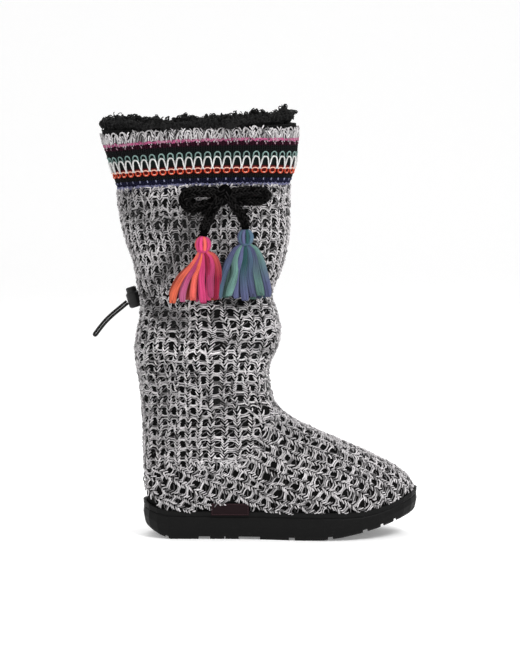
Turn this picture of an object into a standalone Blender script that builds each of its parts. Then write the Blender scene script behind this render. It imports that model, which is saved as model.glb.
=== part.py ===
"""A tall knitted slipper boot for the right foot: a moulded rubber cup sole, an insole, a
hollow knitted upper with a striped cuff, a fleece collar, a woven label, a cord bow with two
tassels, and a spring cord lock on the drawcord at the back.

The toe points along +X, the outer (little toe) side faces -Y and +Z is up. The origin is on
the flat of the tread under the heel. All lengths are metres.
"""

import math

import bmesh
import bpy
import numpy as np
from mathutils import Matrix, Vector

# Sole
OUTSOLE_LENGTH = 0.270
HEEL_REACH = 0.036
BALL_WIDTH = 0.100
RIM_HEIGHT = 0.0275
HEEL_RIM_RISE = 0.0085
HEEL_RIM_START = 0.0
TOE_RIM_RISE = 0.0195
TOE_RIM_START = 0.165
SPRING_START = 0.128
TOE_SPRING = 0.026
HEEL_BEVEL_START = -0.011
HEEL_BEVEL = 0.013
HEEL_ROUND = 0.034
TOE_ROUND = 0.062
LIP_WALL = 0.0030
LIP_HEIGHT = 0.0044
SEAM_GROOVE_HEIGHT = 0.0012
SEAM_GROOVE_DEPTH = 0.0012
FLOOR_HEIGHT = 0.0163
INSOLE_THICKNESS = 0.005
LUG_DEPTH = 0.0028
CENTRE_LUG_WIDTH = 0.026
CHANNEL_WIDTH = 0.005

# Upper
WALL = 0.003
GAP = 0.0003
INSTEP_HEIGHT = 0.121
SHAFT_HEIGHT = 0.277
COLLAR_HEIGHT = INSTEP_HEIGHT + SHAFT_HEIGHT
SHAFT_DEPTH = 0.130
SHAFT_WIDTH = 0.092
TOE_INSET = 0.0045
CUFF_HEIGHT = 0.055
CUFF_STEP = 0.0009
COLLAR_TILT = math.radians(2.2)
FAR_SIDE_RISE = 0.006
FLEECE_CLEARANCE = 0.0011
FLEECE_THICKNESS = 0.009
FLEECE_DEPTH = 0.030
FLEECE_RISE = 0.0125
FLEECE_LUMP = 0.0024
LABEL_LENGTH = 0.037
LABEL_HEIGHT = 0.0120
LABEL_THICKNESS = 0.0008
LABEL_START = 0.0315
LABEL_BOTTOM = 0.0236

# Cords, tassels and cord lock
BOW_CORD = 0.0076
KNOT_SIZE = 0.0125
TASSEL_HEAD = 0.0150
TASSEL_LENGTH = 0.067
TASSEL_SPREAD = 0.0475
TASSEL_THICKNESS = 0.0110
ROVING = 0.0056
LOCK_DIAMETER = 0.0140
LOCK_LENGTH = 0.0155
BUTTON_DIAMETER = 0.0104
BUTTON_PROUD = 0.0050
BUTTON_TRAVEL = 0.0035
BUTTON_CLEARANCE = 0.0003
LOCK_LEAN = math.radians(18)
LOCK_OFFSET = 0.010
DRAWCORD = 0.0026
LOCK_LEVEL = 0.1098
GROOVE_OVERRUN = 0.004
STATIONS = 20

# The plan of the sole from heel to toe. The centre line and half width are shares of the
# ball width, and a minus centre leans to the outer side of the foot.
SOLE_PLAN = (
    # share of length, centre, half width
    (0.00, 0.000, 0.365),
    (0.14, 0.000, 0.365),
    (0.36, -0.022, 0.350),
    (0.52, -0.020, 0.415),
    (0.66, 0.000, 0.490),
    (0.80, 0.030, 0.480),
    (0.92, 0.050, 0.430),
    (1.00, 0.055, 0.400),
)

# The side of the outsole from the tread up: share of the way to the rim, then how far below
# that and how far inside the plan the level lies.
SOLE_SIDE = (
    # share of height, drop, inset
    (0.00, 0.0, 0.0032),
    (0.10, 0.0, 0.0014),
    (0.42, 0.0, 0.0),
    (1.00, LIP_HEIGHT + 2 * SEAM_GROOVE_HEIGHT, 0.0006),
    (1.00, LIP_HEIGHT + SEAM_GROOVE_HEIGHT, SEAM_GROOVE_DEPTH),
    (1.00, LIP_HEIGHT, 0.0002),
    (1.00, 0.0007, 0.0),
    (1.00, 0.0, 0.0008),
    (1.00, 0.0, LIP_WALL),
)

# Grooves across the tread: where each starts and ends along the sole.
TREAD_GROOVES = (
    (-0.0130, -0.0098),
    (0.0192, 0.0305),
    (0.0440, 0.0455),
    (0.0582, 0.0790),
    (0.1070, 0.1128),
    (0.1447, 0.1495),
    (0.1785, 0.1833),
    (0.1960, 0.1990),
    (0.2090, 0.2115),
)

# The top line of the foot: height as a share of the instep height, and reach as a share of
# the way from the throat of the boot to the toe.
FOOT_TOP = (
    # height, reach
    (0.350, 1.000),
    (0.403, 0.985),
    (0.453, 0.965),
    (0.502, 0.918),
    (0.551, 0.846),
    (0.601, 0.758),
    (0.699, 0.568),
    (0.798, 0.356),
    (0.896, 0.162),
    (0.945, 0.072),
    (1.000, 0.000),
)

# The shaft from the instep to the collar, with its gathers and folds: height as a share of
# the way up, the back and front as shares of the shaft's depth, and its share of the width.
SHAFT = (
    # height, back, front, width
    (0.000, -0.270, 0.748, 0.850),
    (0.040, -0.276, 0.702, 0.845),
    (0.083, -0.284, 0.673, 0.850),
    (0.126, -0.296, 0.665, 0.860),
    (0.168, -0.312, 0.655, 0.860),
    (0.211, -0.328, 0.722, 0.905),
    (0.253, -0.320, 0.748, 0.920),
    (0.296, -0.304, 0.756, 0.910),
    (0.339, -0.282, 0.735, 0.885),
    (0.383, -0.280, 0.698, 0.850),
    (0.419, -0.286, 0.675, 0.835),
    (0.462, -0.306, 0.724, 0.890),
    (0.509, -0.322, 0.768, 0.935),
    (0.552, -0.338, 0.786, 0.955),
    (0.592, -0.380, 0.812, 0.960),
    (0.657, -0.420, 0.822, 0.980),
    (0.740, -0.450, 0.818, 1.000),
    (0.783, -0.455, 0.820, 1.005),
    (0.810, -0.462, 0.834, 1.010),
    (0.848, -0.488, 0.862, 1.020),
    (0.888, -0.517, 0.876, 1.030),
    (0.931, -0.548, 0.884, 1.030),
    (1.000, -0.590, 0.888, 1.040),
)

# The heel of the upper below the instep: height as a share of the instep height, then back
# and hidden front as shares of the shaft's depth, and its share of the shaft's width.
HEEL = (
    # height, back, front, width
    (0.15, -0.262, 0.560, 0.620),
    (0.35, -0.264, 0.560, 0.670),
    (0.60, -0.258, 0.620, 0.740),
    (0.80, -0.262, 0.690, 0.800),
    (1.00, -0.270, 0.748, 0.850),
)

# The section of the fleece collar, from its foot inside the shaft, up, over the knitted edge
# and down again: inward from the shaft's outside, and up from its edge, both as shares of
# the fleece's thickness and rise. The third number is how far the lumps move the point.
FLEECE_SECTION = (
    # inward, up, lump
    (-0.42, 0.14, 0.3),
    (-0.40, 0.46, 0.8),
    (-0.05, 0.84, 1.0),
    (0.45, 1.00, 1.0),
    (0.98, 0.78, 1.0),
    (1.22, 0.25, 0.8),
)

# The bow's cord, as points on the outside of the shaft: along the boot, up, and out from it.
BOW_KNOT = (0.0458, 0.3314, 0.0062)
BOW_LOOP_BACK = (
    (0.0395, 0.3352, 0.0062),
    (0.0300, 0.3384, 0.0074),
    (0.0160, 0.3392, 0.0072),
    (0.0065, 0.3345, 0.0056),
    (0.0045, 0.3270, 0.0044),
    (0.0100, 0.3214, 0.0040),
    (0.0215, 0.3212, 0.0040),
    (0.0320, 0.3250, 0.0040),
    (0.0392, 0.3288, 0.0044),
)
BOW_LOOP_FRONT = (
    (0.0522, 0.3352, 0.0062),
    (0.0620, 0.3380, 0.0082),
    (0.0750, 0.3384, 0.0088),
    (0.0848, 0.3366, 0.0074),
    (0.0866, 0.3325, 0.0058),
    (0.0810, 0.3288, 0.0047),
    (0.0690, 0.3278, 0.0045),
    (0.0590, 0.3280, 0.0045),
    (0.0525, 0.3292, 0.0046),
)
BOW_TAIL_BACK = (
    (0.0392, 0.3262, 0.0126),
    (0.0352, 0.3208, 0.0122),
    (0.0308, 0.3128, 0.0092),
    (0.0272, 0.3040, 0.0064),
    (0.0250, 0.2948, 0.0062),
)
BOW_TAIL_FRONT = (
    (0.0528, 0.3262, 0.0126),
    (0.0570, 0.3208, 0.0122),
    (0.0616, 0.3142, 0.0094),
    (0.0645, 0.3078, 0.0068),
    (0.0655, 0.3012, 0.0064),
)

# The free end of the drawcord, from the middle of the lock: along the boot, across and up.
DRAWCORD_TAIL = (
    (-0.0070, 0.0, -0.0029),
    (-0.0142, 0.0, -0.0088),
    (-0.0216, 0.0, -0.0150),
    (-0.0282, 0.0, -0.0213),
    (-0.0340, 0.0, -0.0282),
    (-0.0388, 0.0, -0.0346),
)


def clear_scene():
    for item in list(bpy.data.objects):
        bpy.data.objects.remove(item, do_unlink=True)


def new_collection(name, helper=False):
    group = bpy.data.collections.new(name)
    bpy.context.scene.collection.children.link(group)
    group.hide_render = helper
    return group


def finish(name, colour, roughness):
    material = bpy.data.materials.new(name)
    material.use_nodes = True
    shader = material.node_tree.nodes["Principled BSDF"]
    shader.inputs["Base Color"].default_value = (*colour, 1.0)
    shader.inputs["Roughness"].default_value = roughness
    shader.inputs["Metallic"].default_value = 0.0
    material.diffuse_color = (*colour, 1.0)
    return material


def add_object(name, mesh, group, material=None):
    thing = bpy.data.objects.new(name, mesh)
    group.objects.link(thing)
    if material:
        mesh.materials.append(material)
    return thing


def mesh_from(bm, name, smooth=True):
    mesh = bpy.data.meshes.new(name)
    bm.to_mesh(mesh)
    bm.free()
    if smooth:
        mesh.shade_smooth()
        mesh.set_sharp_from_angle(angle=math.radians(35))
    return mesh


def through(rows, at, column):
    """The value of one column at a place, on a smooth curve through every row."""
    at = min(max(at, rows[0][0]), rows[-1][0])
    last = len(rows) - 2
    k = next((i for i in range(last) if at < rows[i + 1][0]), last)

    def slope(row):
        before, after = rows[max(row - 1, 0)], rows[min(row + 1, len(rows) - 1)]
        return (after[column] - before[column]) / (after[0] - before[0])

    span = rows[k + 1][0] - rows[k][0]
    u = (at - rows[k][0]) / span
    start, end = rows[k][column], rows[k + 1][column]
    rise = 3 * u**2 - 2 * u**3
    leave = (u**3 - 2 * u**2 + u) * span * slope(k)
    arrive = (u**3 - u**2) * span * slope(k + 1)
    return start + (end - start) * rise + leave + arrive


def end_round(distance, reach, power=2.4):
    """One away from an end of a rounded outline, falling to zero at it."""
    share = min(max(distance / reach, 0.0), 1.0)
    return (1 - (1 - share) ** power) ** (1 / power)


def ramp(value, start, end):
    """Zero before start and one after end, with an even slope between."""
    return min(max((value - start) / (end - start), 0.0), 1.0)


def toe_x():
    return OUTSOLE_LENGTH - HEEL_REACH


def centre_line(x):
    return BALL_WIDTH * through(SOLE_PLAN, (x + HEEL_REACH) / OUTSOLE_LENGTH, 1)


def sole_half_width(x, inset):
    """Half the width of the sole's plan, drawn in by the inset on every side."""
    half = BALL_WIDTH * through(SOLE_PLAN, (x + HEEL_REACH) / OUTSOLE_LENGTH, 2) - inset
    heel = end_round(x + HEEL_REACH - inset, HEEL_ROUND - inset)
    toe = end_round(toe_x() - inset - x, TOE_ROUND - inset)
    return half * heel * toe


def spring(x):
    """How far the tread has risen from the floor towards the toe."""
    return TOE_SPRING * ramp(x, SPRING_START, toe_x()) ** 1.67


def tread_height(x):
    bevel = HEEL_BEVEL * ramp(-x, -HEEL_BEVEL_START, HEEL_REACH)
    return spring(x) + bevel


def rim_height(x):
    heel = HEEL_RIM_RISE * ramp(-x, -HEEL_RIM_START, HEEL_REACH) ** 2
    toe = TOE_RIM_RISE * ramp(x, TOE_RIM_START, toe_x()) ** 1.8
    return RIM_HEIGHT + heel + toe


def floor_height(x):
    """The floor of the cup inside the sole."""
    return FLOOR_HEIGHT + 0.8 * spring(x)


def outline(back, front, half_width, height):
    """A closed loop of points round the boot, from the heel along the outer side to the toe
    and back along the inner side. Both sides share their stations along the boot."""
    steps = [(1 - math.cos(math.pi * i / STATIONS)) / 2 for i in range(STATIONS + 1)]
    xs = [back + (front - back) * step for step in steps]
    outer = [(x, centre_line(x) - half_width(x), height(x)) for x in xs]
    inner = [(x, centre_line(x) + half_width(x), height(x)) for x in xs[-2:0:-1]]
    return outer + inner


def loft(bm, loops):
    """Quads between loops of as many points each. Returns the rings of vertices."""
    rings = [[bm.verts.new(point) for point in loop] for loop in loops]
    for low, high in zip(rings, rings[1:]):
        for i, vert in enumerate(low):
            j = (i + 1) % len(low)
            bm.faces.new((vert, low[j], high[j], high[i]))
    return rings


def strip_cap(bm, ring):
    """Closes a loop by strips straight across the boot, so a bent loop stays true."""
    count = len(ring)
    for i in range(count // 2):
        j = (i + 1) % count
        across = [ring[i], ring[j], ring[(count - j) % count], ring[(count - i) % count]]
        bm.faces.new(list(dict.fromkeys(across)))


def closed_loft(loops, name):
    bm = bmesh.new()
    rings = loft(bm, loops)
    strip_cap(bm, rings[0])
    strip_cap(bm, rings[-1])
    bmesh.ops.recalc_face_normals(bm, faces=bm.faces)
    return mesh_from(bm, name)


def cut(thing, cutter):
    thing.modifiers.new("cut by " + cutter.name, "BOOLEAN").object = cutter
    cutter.hide_render = True
    cutter.display_type = "WIRE"


def bar(name, rows, group):
    """A bar through four-cornered sections, each a list of points."""
    bm = bmesh.new()
    rings = loft(bm, rows)
    bm.faces.new(rings[0])
    bm.faces.new(rings[-1])
    bmesh.ops.recalc_face_normals(bm, faces=bm.faces)
    return add_object(name, mesh_from(bm, name, smooth=False), group)


def sole_loop(inset, height):
    back, front = inset - HEEL_REACH, toe_x() - inset
    return outline(back, front, lambda x: sole_half_width(x, inset), height)


def build_outsole(parts, cutters):
    def level(share, drop, inset):
        def height(x):
            return tread_height(x) + share * (rim_height(x) - tread_height(x)) - drop

        return sole_loop(inset, height)

    loops = [level(*row) for row in SOLE_SIDE]
    loops.append(sole_loop(LIP_WALL, floor_height))
    rubber = finish("outsole rubber", (0.018, 0.018, 0.020), 0.62)
    sole = add_object("outsole", closed_loft(loops, "outsole"), parts, rubber)
    for number, (start, end) in enumerate(TREAD_GROOVES, 1):
        side = BALL_WIDTH
        rows = []
        for x in (start, end):
            low, high = tread_height(x) - GROOVE_OVERRUN, tread_height(x) + LUG_DEPTH
            rows.append(((x, -side, low), (x, side, low), (x, side, high), (x, -side, high)))
        cut(sole, bar(f"tread groove {number}", rows, cutters))
    for name, side in (("outer channel", -1), ("inner channel", 1)):
        middle = side * (CENTRE_LUG_WIDTH + CHANNEL_WIDTH) / 2
        rows = []
        for x in np.linspace(HEEL_BEVEL_START, toe_x() - TOE_ROUND / 2, 16):
            near, far = middle - CHANNEL_WIDTH / 2, middle + CHANNEL_WIDTH / 2
            low = tread_height(x) - GROOVE_OVERRUN
            high = tread_height(x) + LUG_DEPTH * 0.98
            rows.append(((x, near, low), (x, far, low), (x, far, high), (x, near, high)))
        cut(sole, bar(name, rows, cutters))


def build_insole(parts):
    inset = LIP_WALL + WALL + 3 * GAP
    loops = [
        sole_loop(inset, lambda x: floor_height(x) + GAP),
        sole_loop(inset, lambda x: floor_height(x) + GAP + INSOLE_THICKNESS),
    ]
    fleece = finish("insole fleece", (0.03, 0.03, 0.032), 0.95)
    add_object("insole", closed_loft(loops, "insole"), parts, fleece)


def shaft_share(z):
    return (z - INSTEP_HEIGHT) / SHAFT_HEIGHT


def leg(z):
    """Back, front and half width of the heel and shaft at a height."""
    if z < INSTEP_HEIGHT:
        rows, at = HEEL, z / INSTEP_HEIGHT
    else:
        rows, at = SHAFT, shaft_share(z)
    back, front, width = (through(rows, at, column) for column in (1, 2, 3))
    return back * SHAFT_DEPTH, front * SHAFT_DEPTH, width * SHAFT_WIDTH / 2


def throat_x():
    return SHAFT[0][2] * SHAFT_DEPTH


def upper_toe_x():
    return toe_x() - TOE_INSET


def foot_front(z):
    reach = through(FOOT_TOP, z / INSTEP_HEIGHT, 1)
    return throat_x() + reach * (upper_toe_x() - throat_x())


def foot_top(x):
    """Height of the foot's top line, which runs on at its own slope inside the shaft."""
    reach = (x - throat_x()) / (upper_toe_x() - throat_x())
    heights = [row[0] for row in reversed(FOOT_TOP)]
    reaches = [row[1] for row in reversed(FOOT_TOP)]
    if reach >= 0:
        return INSTEP_HEIGHT * float(np.interp(reach, reaches, heights))
    return INSTEP_HEIGHT + 0.45 * (throat_x() - x)


def upper_half_width(x, z):
    """The foot's arched section and the leg's oval, blended where they meet."""
    back, front, half = leg(z)
    top, rim = foot_top(x), rim_height(x)
    share = min(max((z - rim) / max(top - rim, 1e-6), 0.0), 1.0)
    swell = 1 + 0.03 * math.sin(math.pi * min(share * 2, 1.0))
    foot = sole_half_width(x, 0.0012) * (1 - share**2.3) ** (1 / 2.3) * swell
    along = abs(2 * (x - back) / (front - back) - 1)
    power = 2.15 + 0.5 * ramp(z, INSTEP_HEIGHT, RIM_HEIGHT)
    oval = half * (1 - min(along, 1.0) ** power) ** (1 / power)
    return (foot**8 + oval**8) ** 0.125


def rim_fade(level):
    """How far a level of the upper follows the rise of the sole's rim."""
    return 1 - ramp(level, RIM_HEIGHT, INSTEP_HEIGHT * 0.75)


def upper_loop(level, grow=0.0):
    """The upper's outside at a level, grown outwards by a little for the cuff."""

    def height(x):
        lift = rim_height(x) - RIM_HEIGHT
        return level + lift * rim_fade(level)

    front = foot_front(level)
    if level < INSTEP_HEIGHT:
        for _ in range(12):
            front = (front + foot_front(height(front))) / 2
    else:
        front = leg(level)[1] + grow
    back = leg(height(-HEEL_REACH))[0] - grow
    centre = (back + front) / 2
    scale = (front - back) / (front - back - 2 * grow)

    def half_width(x):
        if x <= back or x >= front:
            return 0.0
        own = centre + (x - centre) / scale
        return upper_half_width(own, height(x)) * (1 + grow / (SHAFT_WIDTH / 2))

    loop = outline(back, front, half_width, height)
    return [tilted(Vector(point)) for point in loop]


def tilted(point):
    """The shaft's top slopes up to the front and to the inner side."""
    share = ramp(point.z, INSTEP_HEIGHT, COLLAR_HEIGHT)
    middle = SHAFT_DEPTH * 0.15
    lift = (point.x - middle) * math.tan(COLLAR_TILT) * share
    far = FAR_SIDE_RISE * (point.y / SHAFT_WIDTH + 0.5) * share**3
    return Vector((point.x, point.y, point.z + lift + far))


def upper_levels():
    """Levels of the loft above the rim, and how far each is grown outwards."""
    foot_start = RIM_HEIGHT + 0.0045
    foot = list(np.linspace(foot_start, INSTEP_HEIGHT, 10)[:-1])
    shares = [row[0] for row in SHAFT]
    shaft = [INSTEP_HEIGHT + share * SHAFT_HEIGHT for share in shares]
    cuff = COLLAR_HEIGHT - CUFF_HEIGHT
    edges = [(cuff - 0.0004, 0.0), (cuff + 0.0004, CUFF_STEP)]
    clear = 0.004
    plain = [(level, 0.0) for level in foot + shaft if level < cuff - clear]
    proud = [(level, CUFF_STEP) for level in shaft if level > cuff + clear]
    return plain + edges + proud


def build_upper(parts):
    inset = LIP_WALL + GAP
    loops = [
        sole_loop(inset, lambda x: floor_height(x) + GAP),
        sole_loop(inset, lambda x: rim_height(x) + 2 * GAP),
    ]
    loops += [upper_loop(level, grow) for level, grow in upper_levels()]
    bm = bmesh.new()
    loft(bm, loops)
    bmesh.ops.recalc_face_normals(bm, faces=bm.faces)
    yarn = finish("marled knit", (0.42, 0.41, 0.43), 0.9)
    upper = add_object("upper", mesh_from(bm, "upper"), parts, yarn)
    wall = upper.modifiers.new("wall", "SOLIDIFY")
    wall.thickness = WALL
    wall.offset = -1.0
    wall.use_even_offset = True
    wall.use_rim = True


def lumps(turn, row):
    """The uneven surface of curly fleece, between -1 and 1, closed round the collar."""
    waves = ((7, 0.9, 0.30), (13, 2.3, 0.34), (22, 4.1, 0.22), (29, 1.7, 0.14))
    return sum(part * math.sin(count * turn + phase + row * 1.9) for count, phase, part in waves)


def around(loop, count):
    """Evenly spaced points round a closed loop, each with its outward direction in plan."""
    points = [Vector(point) for point in loop]
    ends = points[1:] + points[:1]
    lengths = [(b - a).length for a, b in zip(points, ends)]
    marks = np.concatenate([[0.0], np.cumsum(lengths)])
    wanted = np.linspace(0, marks[-1], count, endpoint=False)
    closed = np.array(points + points[:1])
    places = np.array([np.interp(wanted, marks, closed[:, axis]) for axis in range(3)]).T
    ahead, behind = np.roll(places, -1, axis=0), np.roll(places, 1, axis=0)
    run = ahead - behind
    out = np.stack([run[:, 1], -run[:, 0], np.zeros(count)], axis=1)
    out /= np.linalg.norm(out, axis=1)[:, None]
    return [(Vector(place), Vector(side)) for place, side in zip(places, out)]


def build_fleece(parts):
    """A lumpy roll that stands in the mouth of the shaft and leans over its edge."""
    stations = around(upper_loop(COLLAR_HEIGHT, CUFF_STEP), 64)
    deep = around(upper_loop(COLLAR_HEIGHT - FLEECE_DEPTH, CUFF_STEP), 64)
    seat = WALL + FLEECE_CLEARANCE
    loops = []
    for number, ((place, out), (low, low_out)) in enumerate(zip(stations, deep)):
        turn = math.tau * number / len(stations)
        up = Vector((0, 0, 1))
        section = [low - low_out * (seat + FLEECE_THICKNESS), low - low_out * seat]
        section.append(place - out * seat + up * 3 * GAP)
        section.append(place + out * 0.0008 + up * 4 * GAP)
        for row, (inward, rise, lump) in enumerate(FLEECE_SECTION):
            bump = FLEECE_LUMP * lump * lumps(turn, row)
            side = out * (bump - inward * FLEECE_THICKNESS)
            section.append(place + side + up * (rise * FLEECE_RISE + bump))
        loops.append(section)
    bm = bmesh.new()
    rings = loft(bm, loops)
    for i, vert in enumerate(rings[-1]):
        j = (i + 1) % len(rings[-1])
        bm.faces.new((vert, rings[-1][j], rings[0][j], rings[0][i]))
    bmesh.ops.recalc_face_normals(bm, faces=bm.faces)
    pile = finish("black fleece", (0.02, 0.02, 0.021), 0.96)
    add_object("fleece_collar", mesh_from(bm, "fleece_collar"), parts, pile)


def build_label(parts):
    """A woven label that hangs from the knit over the outer side of the rim."""
    heights = [LABEL_BOTTOM, RIM_HEIGHT + 4 * GAP, LABEL_BOTTOM + LABEL_HEIGHT]
    rows = []
    for x in np.linspace(LABEL_START, LABEL_START + LABEL_LENGTH, 9):
        lip = centre_line(x) - sole_half_width(x, 0)
        knit = [min(lip, shaft_side(x, z)) for z in heights]
        near = [(x, side - 2 * GAP, z) for side, z in zip([lip, *knit[1:]], heights)]
        far = [(x, y - LABEL_THICKNESS, z) for x, y, z in reversed(near)]
        rows.append(near + far)
    weave = finish("label weave", (0.05, 0.035, 0.04), 0.8)
    label = bar("side_label", rows, parts)
    label.data.materials.append(weave)


def shaft_side(x, z):
    """The outer side of the shaft as Y, at a place along and up the boot."""
    share = ramp(z, INSTEP_HEIGHT, COLLAR_HEIGHT)
    level = z - (x - SHAFT_DEPTH * 0.15) * math.tan(COLLAR_TILT) * share
    return centre_line(x) - upper_half_width(x, level)


def on_shaft(row):
    x, z, out = row
    return Vector((x, shaft_side(x, z) - out, z))


def smooth_route(points, spacing):
    """Points at an even spacing on a smooth curve through a route's own points."""
    marks = [0.0]
    for a, b in zip(points, points[1:]):
        marks.append(marks[-1] + (b - a).length)
    rows = [(mark, *point) for mark, point in zip(marks, points)]
    count = max(int(round(marks[-1] / spacing)), 2)
    places = [marks[-1] * i / count for i in range(count + 1)]
    return [Vector(through(rows, place, axis) for axis in (1, 2, 3)) for place in places]


def tube(name, points, diameter, group, material, closed_ends=True):
    curve = bpy.data.curves.new(name, "CURVE")
    curve.dimensions = "3D"
    curve.bevel_depth = diameter / 2
    curve.bevel_resolution = 2
    curve.use_fill_caps = closed_ends
    line = curve.splines.new("POLY")
    line.points.add(len(points) - 1)
    for spot, point in zip(line.points, points):
        spot.co = (*point, 1.0)
    thing = bpy.data.objects.new(name, curve)
    curve.materials.append(material)
    group.objects.link(thing)
    return thing


def build_bow(parts):
    cord = finish("black crochet cord", (0.012, 0.012, 0.013), 0.85)
    routes = {
        "bow_loop_back": BOW_LOOP_BACK,
        "bow_loop_front": BOW_LOOP_FRONT,
        "bow_tail_back": BOW_TAIL_BACK,
        "bow_tail_front": BOW_TAIL_FRONT,
    }
    for name, rows in routes.items():
        points = smooth_route([on_shaft(row) for row in rows], BOW_CORD * 0.75)
        tube(name, points, BOW_CORD, parts, cord)
    middle = on_shaft(BOW_KNOT)
    bm = bmesh.new()
    bmesh.ops.create_uvsphere(bm, u_segments=14, v_segments=8, radius=KNOT_SIZE / 2)
    bmesh.ops.scale(bm, vec=(1.0, 0.9, 1.0), verts=bm.verts)
    bmesh.ops.translate(bm, vec=middle, verts=bm.verts)
    add_object("bow_knot", mesh_from(bm, "bow_knot"), parts, cord)


def join_all(name, pieces, group, material):
    """One solid from overlapping pieces."""
    first, rest = pieces[0], pieces[1:]
    for piece in rest:
        modifier = first.modifiers.new("join", "BOOLEAN")
        modifier.operation = "UNION"
        modifier.object = piece
        piece.hide_render = True
        piece.display_type = "WIRE"
    first.name = name
    first.data.name = name
    first.data.materials.clear()
    first.data.materials.append(material)
    return first


def tassel_strand(name, start, end, sag, group):
    """One lock of roving: a tapered six-sided bar that curves out from the head."""
    bm = bmesh.new()
    loops = []
    direction = (end - start).normalized()
    side = direction.cross(Vector((0, 1, 0))).normalized()
    front = direction.cross(side).normalized()
    for share, thick in ((0.0, 0.62), (0.35, 0.95), (0.75, 1.1), (1.0, 0.8)):
        middle = start.lerp(end, share) + Vector((0, 0, 1)) * sag * math.sin(math.pi * share)
        radius = ROVING / 2 * thick
        loop = []
        for k in range(6):
            turn = math.tau * k / 6
            loop.append(middle + (side * math.cos(turn) + front * math.sin(turn)) * radius)
        loops.append(loop)
    rings = loft(bm, loops)
    bm.faces.new(rings[0])
    bm.faces.new(rings[-1])
    bmesh.ops.recalc_face_normals(bm, faces=bm.faces)
    return add_object(name, mesh_from(bm, name), group)


def build_tassel(name, head_x, head_z, lean, colour, parts, cutters):
    """A head of wound yarn with a skirt of roving that fans out below it."""
    seat = TASSEL_THICKNESS / 2 + GAP
    head = on_shaft((head_x, head_z, seat))
    bm = bmesh.new()
    bmesh.ops.create_uvsphere(bm, u_segments=12, v_segments=8, radius=TASSEL_HEAD / 2)
    bmesh.ops.scale(bm, vec=(1.0, TASSEL_THICKNESS / TASSEL_HEAD, 1.0), verts=bm.verts)
    bmesh.ops.translate(bm, vec=head, verts=bm.verts)
    yarn = finish(name + " yarn", colour, 0.9)
    pieces = [add_object(name + " head", mesh_from(bm, name), parts)]
    count = 9
    for number in range(count):
        across = number / (count - 1) * 2 - 1
        layer = 1 if number % 2 else -1
        drop = TASSEL_LENGTH * (0.86 - 0.05 * across**2 - 0.02 * layer)
        reach = across * (TASSEL_SPREAD - ROVING) / 2 + lean
        foot_x, foot_z = head.x + reach, head.z - drop
        beside = on_shaft((foot_x, head_z, seat))
        foot_y = min(beside.y, head.y) - layer * TASSEL_THICKNESS * 0.16
        end = Vector((foot_x, foot_y, foot_z))
        start = head + Vector((across * TASSEL_HEAD * 0.26, -layer * 0.0015, -TASSEL_HEAD * 0.2))
        name_here = f"{name} lock {number + 1}"
        sag = abs(across) * 0.004
        pieces.append(tassel_strand(name_here, start, end, sag, cutters))
    return join_all(name, pieces, parts, yarn)


def turned(name, profile, group, material):
    """A solid turned round its own Z axis, from a profile that runs down its outer side."""
    bm = bmesh.new()
    verts = [bm.verts.new((radius, 0, z)) for radius, z in profile]
    for a, b in zip(verts, verts[1:]):
        bm.edges.new((a, b))
    mesh = bpy.data.meshes.new(name)
    bm.to_mesh(mesh)
    bm.free()
    thing = add_object(name, mesh, group, material)
    screw = thing.modifiers.new("turn", "SCREW")
    screw.steps = screw.render_steps = 20
    screw.use_merge_vertices = True
    screw.merge_threshold = 0.00001
    screw.use_normal_calculate = False
    return thing


def build_cord_lock(parts):
    """A spring barrel lock: the button slides down its axis into the barrel."""
    plastic = finish("lock plastic", (0.014, 0.014, 0.015), 0.38)
    radius = LOCK_DIAMETER / 2
    place = Matrix.Translation(lock_centre()) @ Matrix.Rotation(-LOCK_LEAN, 4, "Y")
    top, bottom = LOCK_LENGTH / 2, -LOCK_LENGTH / 2
    bore = BUTTON_DIAMETER / 2 + BUTTON_CLEARANCE
    pocket = bottom + 0.0025
    bevel = 0.0015
    barrel_profile = (
        (0, pocket),
        (bore, pocket),
        (bore, top),
        (radius - bevel, top),
        (radius, top - bevel),
        (radius, bottom + bevel),
        (radius - bevel, bottom),
        (0, bottom),
    )
    body = turned("cord_lock_body", barrel_profile, parts, plastic)
    button_top = top + BUTTON_PROUD
    button_foot = pocket + BUTTON_TRAVEL + 2 * GAP
    round_off = 0.001
    button_profile = (
        (0, button_top),
        (BUTTON_DIAMETER / 2 - round_off, button_top),
        (BUTTON_DIAMETER / 2, button_top - round_off),
        (BUTTON_DIAMETER / 2, button_foot),
        (0, button_foot),
    )
    button = turned("cord_lock_button", button_profile, parts, plastic)
    for piece in (body, button):
        piece.matrix_world = place


def lock_centre():
    """The lock's middle, where its lean still clears the rounded back of the shaft."""
    level = INSTEP_HEIGHT + LOCK_LEVEL
    back, front, half = leg(level)
    rounding = half**2 / ((front - back) / 2)
    reach = rounding + GAP + LOCK_DIAMETER / 2
    behind = math.sqrt(reach**2 - LOCK_OFFSET**2) - rounding
    lean = LOCK_LENGTH / 2 * math.sin(LOCK_LEAN)
    return Vector((back - behind - lean, LOCK_OFFSET, level))


def build_drawcord(parts):
    """The free end of the elastic: two strands side by side that meet at its tip."""
    cord = finish("drawcord", (0.013, 0.013, 0.014), 0.7)
    middle = [lock_centre() + Vector(row) for row in DRAWCORD_TAIL]
    middle = smooth_route(middle, DRAWCORD * 2)
    half = DRAWCORD / 2 + 0.00015
    tip = middle[-1] + (middle[-1] - middle[-2]).normalized() * half
    left = [point + Vector((0, -half, 0)) for point in middle]
    right = [point + Vector((0, half, 0)) for point in reversed(middle)]
    tube("drawcord_tail", left + [tip] + right, DRAWCORD, parts, cord)


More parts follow.
